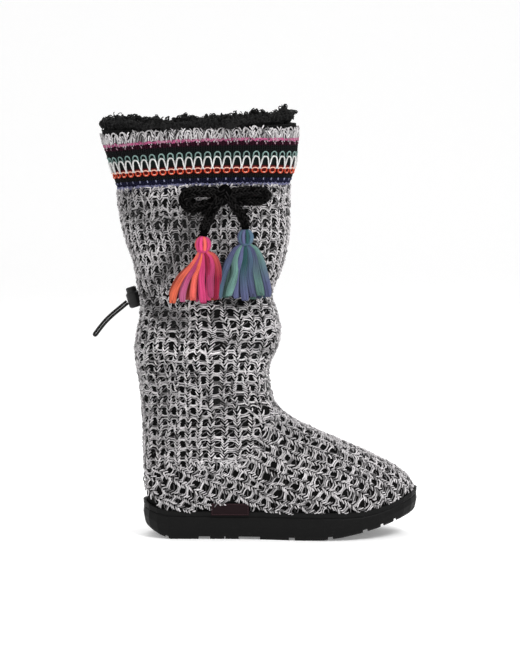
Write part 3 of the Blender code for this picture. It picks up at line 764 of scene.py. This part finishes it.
# %% [markdown]
# ## The striped cuff
# The cuff is knitted denser. From below: a lavender edge, navy with pale dots, black, a row of
# orange loops, tall white loops that cross and end in teal arches, black again, plum with pink
# dots, a pink line and last a band of marl. One period of the pattern is modelled from yarn
# and copied round the shaft.

# %% Cuff grid
LOOPS = 50
CUFF_LOW, CUFF_STEP = 0.3360, 0.0020
cuff_levels = np.arange(CUFF_LOW, 0.3970, CUFF_STEP)
cuff_grid = shaft_grid(cuff_levels, LOOPS * HALF)
cuff_normals = grid_normals(cuff_grid, SHAFT_MIDDLE + (0, 0, 0.17))


def cuff_line(loop, points, out):
    """Places on the cuff from (across in periods, height) pairs."""
    points = np.asarray(points, float)
    rows = (points[:, 1] - CUFF_LOW) / CUFF_STEP
    columns = (loop + points[:, 0]) * HALF
    places, away = surface_at(cuff_grid, cuff_normals, rows, columns, True)
    return places + away * np.asarray(out, float)[:, None]


WHITE, TEAL = (0.70, 0.69, 0.68), (0.20, 0.30, 0.28)
# The peach closes the top of each orange loop, and is also the colour of a painted highlight along the loop's bottom.
ORANGE, PEACH_AND_PAINTED_HIGHLIGHT = (0.60, 0.075, 0.035), (0.84, 0.46, 0.36)
PINK, LAVENDER = (0.44, 0.085, 0.21), (0.15, 0.15, 0.27)
PALE_PINK, PALE_BLUE = (0.42, 0.26, 0.32), (0.28, 0.29, 0.42)
BLACK_YARN = (0.008, 0.008, 0.009)


def spread_out(half):
    """A path mirrored about the middle of a period, as rows of (across, height, 0)."""
    left = [(-x, z, 0) for x, z in half]
    right = [(x, z, 0) for x, z in reversed(half)]
    return left + right[1:] if half[-1][0] == 0 else left + right


# %% Loops of the cuff
OVAL = ((0.64, 0.3545), (0.52, 0.3564), (0.42, 0.3588), (0.35, 0.3625), (0.24, 0.3650), (0.0, 0.3660))
ARCH = ((0.33, 0.3650), (0.30, 0.3676), (0.19, 0.3697), (0.0, 0.3705))
BOWL = ((0.31, 0.3548), (0.34, 0.3532), (0.24, 0.3515), (0.0, 0.3509))
ROOF = ((0.31, 0.3545), (0.16, 0.3555), (0.0, 0.3556))


def cuff_strand(loop, half, count, out, radius, tint, shake=0.014):
    shape = smooth_path(spread_out(half), count)[:, :2]
    shape = shape + dice.normal(0, 1, 2) * (shake, 0.00010)
    bulge = 0.0005 * np.sin(np.linspace(0, math.pi, count))
    return (*sweep(cuff_line(loop, shape, out + bulge), radius), tint)


strands = []
for loop in range(LOOPS):
    for side in (-1, 1):
        share = np.repeat(np.linspace(0, 1, 12), 4)[:, None] ** 3 * 0.35
        white = np.array(WHITE) * dice.uniform(0.80, 1.04)
        arm = smooth_path([(side * x, z, 0) for x, z in OVAL], 12)[:, :2]
        arm = arm + dice.normal(0, 1, 2) * (0.014, 0.00010)
        line = cuff_line(loop, arm, 0.0010 + 0.0005 * np.sin(np.linspace(0, math.pi, 12)))
        strands.append((*sweep(line, 0.00082), white * (1 - share) + np.array(TEAL) * share))
    strands.append(cuff_strand(loop, ARCH, 11, 0.0007, 0.00066, np.array(TEAL) * dice.uniform(0.8, 1.15)))
    strands.append(cuff_strand(loop, BOWL, 11, 0.0009, 0.00072, np.array(ORANGE) * dice.uniform(0.85, 1.1)))
    # A thin peach arc along the bottom of each orange loop is a painted highlight.
    painted_highlight_arc = [(x * 0.62, z + 0.0002) for x, z in BOWL[2:]]
    strands.append(cuff_strand(loop, painted_highlight_arc, 6, 0.0013, 0.00045, PEACH_AND_PAINTED_HIGHLIGHT))
    strands.append(cuff_strand(loop, ROOF, 7, 0.0012, 0.00062, PEACH_AND_PAINTED_HIGHLIGHT))
    for height, tint in ((0.3784, PALE_PINK), (0.3449, PALE_BLUE)):
        at, lean = dice.normal(0, 0.05), dice.normal(0, 0.05)
        dot = ((at, height - 0.0010), (at + lean, height + 0.0010))
        line = cuff_line(loop, dot, (0.0010, 0.0010))
        strands.append((*sweep(line, 0.00062), np.array(tint) * dice.uniform(0.5, 1.1)))
one_mesh("cuff_loops", strands, marl)

# %% Lines and dark rows of the cuff
strands = []
for height, tint, reach in ((0.3820, PINK, 0.00078), (0.3402, LAVENDER, 0.00060)):
    for strand in (-1, 1):
        for loop in range(LOOPS * 2):
            turns = (loop + np.array((0.0, 0.35, 0.7, 1.15))) / 2
            rise = strand * np.array((-0.0010, 0.0003, 0.0010, -0.0007)) + dice.normal(0, 0.00045, 4)
            line = cuff_line(0, np.stack([turns, height + rise], axis=1), np.full(4, 0.0009))
            shade = dice.uniform(0.55, 1.2)
            pale = 0.7 * dice.random() ** 2
            colour = (np.array(tint) * (1 - pale) + np.array(PALE_PINK if height > 0.36 else PALE_BLUE) * pale) * shade
            strands.append((*sweep(line, reach * dice.uniform(0.8, 1.1)), colour))
DARK_ROWS = ((0.3422, 0.3444, 0.3466, 0.3488), (0.3712, 0.3732, 0.3752, 0.3774, 0.3796))
for heights in DARK_ROWS:
    for height in heights:
        plum = height > 0.3760
        navy = height < 0.3460
        tint = (0.030, 0.004, 0.013) if plum else (0.010, 0.011, 0.034) if navy else BLACK_YARN
        for loop in range(LOOPS):
            for part in (0.0, 0.5):
                for side in (-1, 1):
                    leg = ((part + side * 0.04, height - 0.0010), (part + side * 0.20, height + 0.0013))
                    strands.append((*sweep(cuff_line(loop, leg, (0.0002, 0.0006)), 0.00056), tint))
one_mesh("cuff_rows", strands, marl)

# %% Marled band at the top of the cuff
# The last round is cast off loosely, so its stitches are tall and open.
TALL_LOOP = ((0.37, 0.3834), (0.35, 0.3870), (0.28, 0.3906), (0.12, 0.3926), (0.0, 0.3928))
strands = []
for loop in range(LOOPS):
    for inset, out in ((1.0, 0.0012), (0.70, 0.0009), (0.40, 0.0006)):
        half = [(x * inset, z - (1 - inset) * 0.006) for x, z in TALL_LOOP]
        lean = dice.normal(0, 0.20)
        shape = smooth_path(spread_out(half), 12)[:, :2]
        shape[:, 0] += lean * (shape[:, 1] - 0.3834) / 0.0082 + dice.normal(0, 0.03)
        shape[:, 1] += dice.normal(0, 0.0008) * (shape[:, 1] - 0.3834) / 0.0092
        strands.append((*sweep(cuff_line(loop, shape, np.full(12, out)), 0.00068), ply_colour() * 0.96))
    for side in (-1, 1):
        for low in (0.3838, 0.3868, 0.3896):
            leg = ((0.5 + side * 0.02, low), (0.5 + side * 0.12, low + 0.0018), (0.5 + side * 0.28, low + 0.0036))
            leg = np.array(leg) + dice.normal(0, 1, 2) * (0.05, 0.0005)
            strands.append((*sweep(cuff_line(loop, leg, (0.0009, 0.0015, 0.0010)), 0.00064), ply_colour()))
one_mesh("knit_top_band", strands, marl)

# %% [markdown]
# ## The fleece in the collar
# The real pile is curly and clumps into small tufts. A smooth black roll would look like foam,
# so the CAD roll is made uneven by three displacements, from the slow swell of the roll to the
# single tufts, and then a few thousand small curls of yarn are set on it.

# %% Fleece roll
roll = merged_copy("fleece_collar", "fleece_roll", 1)
bpy.context.view_layer.objects.active = roll
SWELLS = (("rolls", 0.030, 0.022, 0.72), ("clumps", 0.010, 0.013, 0.53), ("tufts", 0.0045, 0.006, 0.5))
for title, size, depth, calm in SWELLS:
    pattern = bpy.data.textures.new(title, "CLOUDS")
    pattern.noise_scale = size
    bump = roll.modifiers.new(title, "DISPLACE")
    bump.texture = pattern
    bump.texture_coords = "GLOBAL"
    bump.strength = depth
    bump.mid_level = calm
    with bpy.context.temp_override(object=roll, active_object=roll, selected_objects=[roll]):
        bpy.ops.object.modifier_apply(modifier=title)
at = points_of(roll)
at[:, 0] = 0.022 + (at[:, 0] - 0.022) * 0.966
at[:, 2] -= 0.0030 * np.exp(-(((at[:, 0] - 0.012) / 0.040) ** 2))
roll.data.vertices.foreach_set("co", at.astype(np.float32).ravel())
roll.data.update()
roll.data.materials.append(pile)
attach(roll, "boot")
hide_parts("fleece_collar")
print("fleece roll", len(roll.data.polygons), "faces")

# %% Curls of the fleece
CURLS = 2900
roll_points, roll_normals = points_of(roll), normals_of(roll)
high = np.where((roll_points[:, 2] > 0.388) & (roll_normals[:, 2] > -0.6))[0]
strands = []
for start in dice.choice(high, CURLS):
    place, up = roll_points[start], roll_normals[start]
    across = np.cross(up, dice.normal(0, 1, 3))
    across /= np.linalg.norm(across)
    reach = dice.uniform(0.0009, 0.0026)
    turn = np.linspace(0, dice.uniform(3.2, 6.5), 7)
    drift = np.cross(up, across) * np.linspace(0, dice.uniform(0.0004, 0.0026), 7)[:, None]
    lift = up * (reach * (0.2 - np.cos(turn)))[:, None]
    line = place + across * (reach * np.sin(turn))[:, None] + lift + drift
    strands.append((*sweep(line, dice.uniform(0.00038, 0.00062)), BLACK_YARN))
one_mesh("fleece_curls", strands, pile)

# %% [markdown]
# ## The bow
# The bow is one crocheted cord, tied so that a loop and a tail come out on each side of the
# knot. Each half is a cord of a real length from the knot round its loop, back through the
# knot and down to its tassel. The path lies a few millimetres off the knit. The cord is flat and
# its stitches show, so a smooth core carries five columns of small V stitches.

# %% Paths of the bow
def on_knit(x, z, out):
    """A point on the outer side of the plain shaft, some way out from it."""
    place = plain_tree.ray_cast(Vector((x, -1.0, z)), Vector((0, 1, 0)))[0]
    return np.array((x, place.y - out, z))


# Along the boot, up, and out from the knit, as in the CAD model.
KNOT = (0.0440, 0.3336, 0.0066)
LOOP_BACK = (
    (0.0395, 0.3348, 0.0062), (0.0300, 0.3366, 0.0074), (0.0170, 0.3366, 0.0072),
    (0.0090, 0.3330, 0.0060), (0.0074, 0.3276, 0.0050), (0.0112, 0.3230, 0.0044),
    (0.0215, 0.3226, 0.0042), (0.0320, 0.3256, 0.0042), (0.0392, 0.3290, 0.0050),
)
TAIL_BACK = (
    (0.0400, 0.3278, 0.0110), (0.0352, 0.3208, 0.0122), (0.0308, 0.3128, 0.0092),
    (0.0272, 0.3040, 0.0064), (0.0250, 0.2948, 0.0062),
)
LOOP_FRONT = (
    (0.0522, 0.3348, 0.0062), (0.0620, 0.3368, 0.0082), (0.0740, 0.3370, 0.0088),
    (0.0830, 0.3358, 0.0076), (0.0852, 0.3326, 0.0060), (0.0805, 0.3292, 0.0048),
    (0.0690, 0.3282, 0.0045), (0.0590, 0.3282, 0.0045), (0.0525, 0.3292, 0.0050),
)
TAIL_FRONT = (
    (0.0520, 0.3278, 0.0110), (0.0570, 0.3208, 0.0122), (0.0616, 0.3142, 0.0094),
    (0.0645, 0.3078, 0.0068), (0.0655, 0.3012, 0.0064),
)
CORD, CORD_THICK = 0.0092, 0.0074
# The core is coloured far darker than the stitch yarn: painted shade in the gaps between the stitches.
CORE_PAINTED_SHADE, CORD_BLACK = grey(0.0004), (0.0080, 0.0076, 0.0076)


def bow_path(loop, tail):
    rows = [on_knit(*row) for row in (*loop, *tail)]
    return smooth_path(rows, 150)


def length_of(path):
    return float(np.linalg.norm(np.diff(path, axis=0), axis=1).sum())


def crocheted(path, wide, thick, sides=16):
    """A flat core with small V stitches laid round it in five columns."""
    points, faces, uvs = sweep(path, 1.0, sides)
    centres = np.repeat(path, sides, axis=0)
    flat = np.stack([wide, thick, wide], axis=1) / 2
    spokes = (points - centres) * np.repeat(flat, sides, axis=0)
    shell = (centres + spokes * 0.92).reshape(len(path), sides, 3)
    shell = np.concatenate([shell, shell[:, :1]], axis=1)
    # The core shows between the stitches in painted shade.
    strands = [(centres + spokes * 0.78, faces, uvs, CORE_PAINTED_SHADE)]
    length, pitch, columns = length_of(path), 0.0034, 5
    for column in range(columns):
        for step in range(int(length / pitch) - 1):
            for side in (-1, 1):
                rows = (step + 0.5 * (column % 2) + np.array((0.0, 0.5, 1.05))) * pitch / length
                around = column + 0.5 + side * np.array((0.05, 0.26, 0.44)) + dice.normal(0, 0.03)
                line = between(shell, rows * (len(path) - 1), around * sides / columns % sides)
                strands.append((*sweep(line, 0.00078), np.array(CORD_BLACK) * dice.uniform(0.05, 2.3)))
    return strands


# In its loops the cord lies flatter and so a little wider, above all in the back one.
SPREAD = {"bow_cord_back": 0.0030, "bow_cord_front": 0.0006}
paths = {"bow_cord_back": bow_path(LOOP_BACK, TAIL_BACK)}
paths["bow_cord_front"] = bow_path(LOOP_FRONT, TAIL_FRONT)
for name, path in paths.items():
    flatter = np.exp(-(((np.linspace(0, 1, len(path)) - 0.32) / 0.16) ** 2))
    wide = CORD + SPREAD[name] * flatter
    cord = crocheted(path, wide, np.full(len(path), CORD_THICK))
    one_mesh(name, cord, crochet)
    print(name, round(length_of(path), 4), "m")

# %% The knot
middle = on_knit(*KNOT)
rise = np.linspace(-0.97, 0.97, 24)
wrap = middle + np.stack([0.0010 * np.sin(rise * 3), 0 * rise, 0.0102 * rise], axis=1)
swell = np.sqrt(1 - rise**2)
knot = one_mesh("bow_knot_wrap", crocheted(wrap, 0.0190 * swell, 0.0130 * swell), crochet)
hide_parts("bow_knot")
print("knot at", [round(float(v), 4) for v in middle])

# %% [markdown]
# ## The tassels
# A tassel is a bundle of thick, soft roving, folded over the end of the cord and tied below
# the fold. The fold makes a small ball with upright ribs, and the rest hangs down in locks
# that spread a little. The dye changes from lock to lock and along each lock.

# %% Tassel maker
CORAL, ORANGE_WOOL, HOT_PINK = (0.78, 0.13, 0.105), (0.76, 0.145, 0.075), (0.68, 0.060, 0.20)
CRIMSON, MAUVE, ROSE = (0.32, 0.014, 0.050), (0.46, 0.11, 0.23), (0.38, 0.045, 0.13)
VIOLET, STEEL, MINT = (0.105, 0.118, 0.235), (0.085, 0.150, 0.225), (0.140, 0.270, 0.240)
DEEP_TEAL = (0.026, 0.090, 0.095)
# From the back of the boot to its front: the dye at the neck and the dye at the end.
PINK_DYES = (
    (CORAL, ORANGE_WOOL), (ROSE, MAUVE), (ORANGE_WOOL, CORAL), (HOT_PINK, HOT_PINK),
    (CRIMSON, HOT_PINK), (HOT_PINK, ROSE), (CORAL, CRIMSON),
)
BLUE_DYES = (
    (VIOLET, STEEL), (MINT, MINT), (VIOLET, VIOLET), (DEEP_TEAL, VIOLET),
    (STEEL, VIOLET), (VIOLET, MINT), (MINT, VIOLET),
)
PINK_HEAD = (HOT_PINK, HOT_PINK, CORAL, HOT_PINK, ROSE, CORAL)
BLUE_HEAD = (STEEL, VIOLET, DEEP_TEAL, STEEL, MINT, VIOLET)
LOCK_RINGS, LOCK_SIDES = 22, 7


def dyed(pair, count, start):
    """A colour for each ring that drifts from one dye to another."""
    first, second = np.array(pair[0]), np.array(pair[1])
    share = np.clip(np.linspace(0, 1, count) * 1.8 - start, 0, 1)[:, None]
    return first * (1 - share) + second * share


def lock_of_wool(rows, dye, shade):
    """One soft lock of five thin rovings in a slow twist: thin at the neck, full below."""
    line = smooth_path(rows, LOCK_RINGS)
    along = np.linspace(0, 1, LOCK_RINGS)
    marks, thick = (0, 0.10, 0.35, 0.80, 0.95, 1), (0.0017, 0.0027, 0.0036, 0.0039, 0.0035, 0.0022)
    reach = np.interp(along, marks, thick)
    colours = dyed(dye, LOCK_RINGS, dice.uniform(0, 0.7))
    start, twist = dice.uniform(0, math.tau), dice.uniform(-1.6, 1.6)
    rovings = []
    for k in range(5):
        turn = start + math.tau * k / 5 + twist * along
        wander_x = dice.normal(0, 0.00025) * along
        around = np.stack([np.cos(turn) * 0.52, np.sin(turn) * 0.42, 0 * turn], axis=1) * reach[:, None]
        around[:, 0] += wander_x
        tip = int(LOCK_RINGS * dice.uniform(0.93, 1.0))
        fade = np.where(along[:tip] > 0.94, 0.75, 1.0)
        roving_line = (line + around)[:tip]
        # shade carries the painted shade of a back-layer lock; the random factor varies the tone.
        tone = shade * dice.uniform(0.78, 1.12)
        tints = np.repeat(colours[:tip] * tone, LOCK_SIDES, axis=0)
        rovings.append((*sweep(roving_line, reach[:tip] * 0.50 * fade, LOCK_SIDES), tints))
    return rovings


def tassel(name, node, head_x, head_z, ends, shoulders, dyes, head_dyes, foot):
    """Ribs over the head, a wrap at the neck and two layers of locks below it."""
    head = on_knit(head_x, head_z, 0.0062)
    neck = head + (0, 0, -0.0076)
    strands = []
    for k in range(10):
        turn = math.tau * k / 10
        way = np.array((math.cos(turn), 0.80 * math.sin(turn), 0))
        rib = [neck + way * 0.0030, head + way * 0.0054 - (0, 0, 0.0034), head + way * 0.0062]
        rib += [head + way * 0.0046 + (0, 0, 0.0046), head + (0, 0, 0.0070) + way * 0.0010]
        dye = np.array(head_dyes[k % len(head_dyes)]) * dice.uniform(0.75, 1.1)
        strands.append((*sweep(smooth_path(rib, 10), 0.0018, 8), dye))
    turn = np.linspace(0, math.tau * 3.5, 80)
    wrap = neck + np.stack([0.0050 * np.cos(turn), 0.0044 * np.sin(turn), turn * 0.00010], axis=1)
    strands.append((*sweep(wrap, 0.0007, 6), np.array(head_dyes[0]) * 0.8))
    # The back layer of locks is coloured at 0.45 against the front's 0.92: painted shade behind the front locks.
    for count, out, shade in ((9, -0.0030, 0.45), (len(dyes), 0.0022, 0.92)):
        for k in range(count):
            across = k / (count - 1) * 2 - 1
            side = 0 if across < 0 else 1
            reach = abs(across) * (ends[side] - 0.0032 * np.sign(ends[side]))
            shoulder = across * shoulders[side]
            drop = neck[2] - foot - 0.0030 - dice.uniform(-0.0030, 0.0028)
            drop -= 0.0035 * max(0.0, across - 0.3) * (side == 1)
            away = on_knit(head_x + reach, head_z - drop * 0.5, 0.0060)
            end_y = min(away[1], head[1]) - out - 0.0016 * (k % 2)
            sway = dice.normal(0, 0.0016)
            rows = [
                neck + (across * 0.0030, -out * 0.6, 0.0014),
                neck + (shoulder * 0.75, -out * 1.2, -0.0030),
                neck + (shoulder + (reach - shoulder) * 0.15, -out * 1.5, -0.0110),
                neck + (shoulder + (reach - shoulder) * 0.62 + sway, (end_y - neck[1]) * 0.7, -drop * 0.52),
                neck + (shoulder + (reach - shoulder) * 0.92 + sway * 0.6, end_y - neck[1], -drop * 0.80),
                neck + (reach, end_y - neck[1] + 0.0006, -drop),
            ]
            dye = dyes[k % len(dyes)]
            strands.extend(lock_of_wool(rows, dye, shade * dice.uniform(0.85, 1.1)))
    piece = one_mesh(name, strands, roving)
    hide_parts(node)
    return piece


PINK_ENDS, PINK_SHOULDERS = (-0.0325, 0.0155), (0.0060, 0.0135)
BLUE_ENDS, BLUE_SHOULDERS = (-0.0290, 0.0255), (0.0120, 0.0120)
pink = tassel("tassel_pink_roving", "tassel_pink", 0.0247, 0.2865, PINK_ENDS, PINK_SHOULDERS, PINK_DYES, PINK_HEAD, 0.2275)
blue = tassel("tassel_blue_roving", "tassel_blue", 0.0652, 0.2932, BLUE_ENDS, BLUE_SHOULDERS, BLUE_DYES, BLUE_HEAD, 0.2300)

for name, piece_end, nodes_here in (
    ("bow_cord_back", pink, ("bow_loop_back", "bow_tail_back")),
    ("bow_cord_front", blue, ("bow_loop_front", "bow_tail_front")),
):
    path = paths[name]
    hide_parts(*nodes_here)

# %% [markdown]
# ## The cord lock and the drawcord's end
# The lock is a plastic barrel with a spring button. Its shape in the CAD model is right, so it
# keeps its solids and gets moulded plastic. Behind it hangs the drawcord's free end: elastic
# folded double, so it is two thin round strands side by side that meet at the tip.

# %% Lock plastic
plastic, nodes, links, shader = new_material("moulded black plastic", 0.36, specular=0.22)
wear = add_grain(nodes, links, shader, 500, 0.12)
shade = ramp(nodes, [(0.3, grey(0.006)), (0.8, grey(0.014))])
links.new(wear, shade.inputs["Fac"])
links.new(shade.outputs["Color"], shader.inputs["Base Color"])
for node in ("cord_lock_body", "cord_lock_button"):
    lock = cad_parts[node]
    lock.data.materials.clear()
    lock.data.materials.append(plastic)

# %% Drawcord tail
low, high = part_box("cord_lock_body")
lock_middle = (np.array(low) + np.array(high)) / 2
TAIL = (
    (-0.0070, 0.0, -0.0029), (-0.0142, 0.0, -0.0088), (-0.0216, 0.0, -0.0150),
    (-0.0282, 0.0, -0.0213), (-0.0340, 0.0, -0.0282), (-0.0388, 0.0, -0.0346),
)
ELASTIC = 0.0025
tail_path = smooth_path([lock_middle + row for row in TAIL], 60)
half = ELASTIC / 2 + 0.00005
strands = []
ahead = np.gradient(tail_path, axis=0)
ahead /= np.linalg.norm(ahead, axis=1)[:, None]
beside = np.cross(ahead, (0, 1, 0))
for side in (-1, 1):
    points, faces, uvs = sweep(tail_path + side * half * beside, ELASTIC / 2, 12)
    strands.append((points, faces, uvs, BLACK_YARN))
turn = np.linspace(-math.pi / 2, math.pi / 2, 12)
tip = tail_path[-1] + np.outer(np.cos(turn) * half, ahead[-1]) + np.outer(np.sin(turn) * half, beside[-1])
strands.append((*sweep(tip, ELASTIC / 2, 12), BLACK_YARN))
elastic, nodes, links, shader = new_material("black elastic", 0.5)
fuzz = add_fibres(nodes, links, shader, 1600, 8, 0.5)
shade = ramp(nodes, [(0.3, grey(0.005)), (0.7, grey(0.016))])
links.new(fuzz, shade.inputs["Fac"])
links.new(shade.outputs["Color"], shader.inputs["Base Color"])
drawcord = one_mesh("drawcord_end", strands, elastic)
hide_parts("drawcord_tail")
print("drawcord end", round(length_of(tail_path), 4), "m")

# %% [markdown]
# ## The rubber sole
# The sole is one moulding, so its solid is kept. Black rubber is never quite black: it has a
# fine matt grain, which varies its colour and its gloss a little.

# %% Rubber
rubber, nodes, links, shader = new_material("moulded black rubber", 0.5, specular=0.10)
mask = add_grain(nodes, links, shader, 1100, 0.25)
shade = ramp(nodes, [(0.25, grey(0.003)), (0.8, grey(0.007))])
links.new(mask, shade.inputs["Fac"])
links.new(shade.outputs["Color"], shader.inputs["Base Color"])
gloss = ramp(nodes, [(0.2, grey(0.46)), (0.9, grey(0.66))])
links.new(mask, gloss.inputs["Fac"])
links.new(gloss.outputs["Color"], shader.inputs["Roughness"])
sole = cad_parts["outsole"]
sole.data.materials.clear()
sole.data.materials.append(rubber)
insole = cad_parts["insole"]
insole.data.materials.clear()
insole.data.materials.append(pile)

# %% [markdown]
# ## The side label
# A small woven label hangs over the rim on the outer side. It is a dark, fine weave, and it is
# left bare.

# %% Label
weave, nodes, links, shader = new_material("woven label", 0.8)
where = nodes.new("ShaderNodeTexCoord")
rows = nodes.new("ShaderNodeTexWave")
rows.inputs["Scale"].default_value = 450
rows.bands_direction = "Z"
links.new(where.outputs["Object"], rows.inputs["Vector"])
shade = ramp(nodes, [(0.2, (0.006, 0.003, 0.0035)), (0.8, (0.018, 0.008, 0.010))])
links.new(rows.outputs["Fac"], shade.inputs["Fac"])
links.new(shade.outputs["Color"], shader.inputs["Base Color"])
bump = nodes.new("ShaderNodeBump")
bump.inputs["Distance"].default_value = 0.0002
links.new(rows.outputs["Fac"], bump.inputs["Height"])
links.new(bump.outputs["Normal"], shader.inputs["Normal"])
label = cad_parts["side_label"]
label.data.materials.clear()
label.data.materials.append(weave)

# %% Sewn edge of the label
# A thin thread runs round the label just inside its edge.
label_tree = tree_of([tuple(point) for point in points_of(label)], label)
EDGE = 0.0011
left, right = label_low[0] + EDGE, label_high[0] - EDGE
bottom, top = label_low[2] + EDGE, label_high[2] - EDGE
corners = np.array([(left, bottom), (right, bottom), (right, top), (left, top), (left, bottom)])
strands = []
for start, end in zip(corners, corners[1:]):
    stitches = int(np.linalg.norm(end - start) / 0.0016)
    for k in range(stitches):
        ends = [start + (end - start) * (k + share) / stitches for share in (0.10, 0.50, 0.90)]
        hits = [label_tree.ray_cast(Vector((x, -1.0, z)), Vector((0, 1, 0)))[0] for x, z in ends]
        if None not in hits:
            line = np.array([tuple(hit) for hit in hits]) - (0, 0.00012, 0)
            strands.append((*sweep(line, 0.00026), (0.060, 0.030, 0.036)))
one_mesh("label_edge_stitches", strands, marl)

# %% [markdown]
# ## Floor and light
# The photograph has a white studio ground and soft light from the front and above, with only a
# faint shadow under the sole. A floor that curves up behind the boot hides the horizon.

# %% Floor
bpy.ops.object.select_all(action="DESELECT")
bpy.ops.mesh.primitive_plane_add(size=12.0, location=(0, 0, 0))
floor = bpy.context.object
floor.name = "studio_floor"
bpy.ops.object.mode_set(mode="EDIT")
bpy.ops.mesh.select_all(action="SELECT")
bpy.ops.mesh.subdivide(number_cuts=24)
bpy.ops.object.mode_set(mode="OBJECT")
at = points_of(floor)
beyond = np.clip(at[:, 1] - 2.0, 0, None)
at[:, 2] = beyond**2 * 0.35
floor.data.vertices.foreach_set("co", at.astype(np.float32).ravel())
floor.data.shade_smooth()
paper, nodes, links, shader = new_material("white paper", 0.9)
shader.inputs["Base Color"].default_value = (0.92, 0.92, 0.92, 1)
shader.inputs["Emission Color"].default_value = (1, 1, 1, 1)
shader.inputs["Emission Strength"].default_value = 0.20
floor.data.materials.append(paper)

# %% Lights
def soft_light(name, place, size, power):
    bpy.ops.object.light_add(type="AREA", location=place)
    lamp = bpy.context.object
    lamp.name = name
    lamp.data.size = size
    lamp.data.energy = power
    lamp.rotation_euler = (Vector((0.05, 0, 0.18)) - Vector(place)).to_track_quat("-Z", "Y").to_euler()
    return lamp


soft_light("key", (1.1, -1.2, 1.7), 0.8, 30)
soft_light("fill", (-1.2, -1.6, 0.9), 1.2, 5)
soft_light("back", (-0.1, 1.3, 1.4), 1.2, 14)
world = bpy.data.worlds.new("studio")
world.use_nodes = True
world.node_tree.nodes["Background"].inputs["Color"].default_value = (1, 1, 1, 1)
world.node_tree.nodes["Background"].inputs["Strength"].default_value = 0.72
bpy.context.scene.world = world
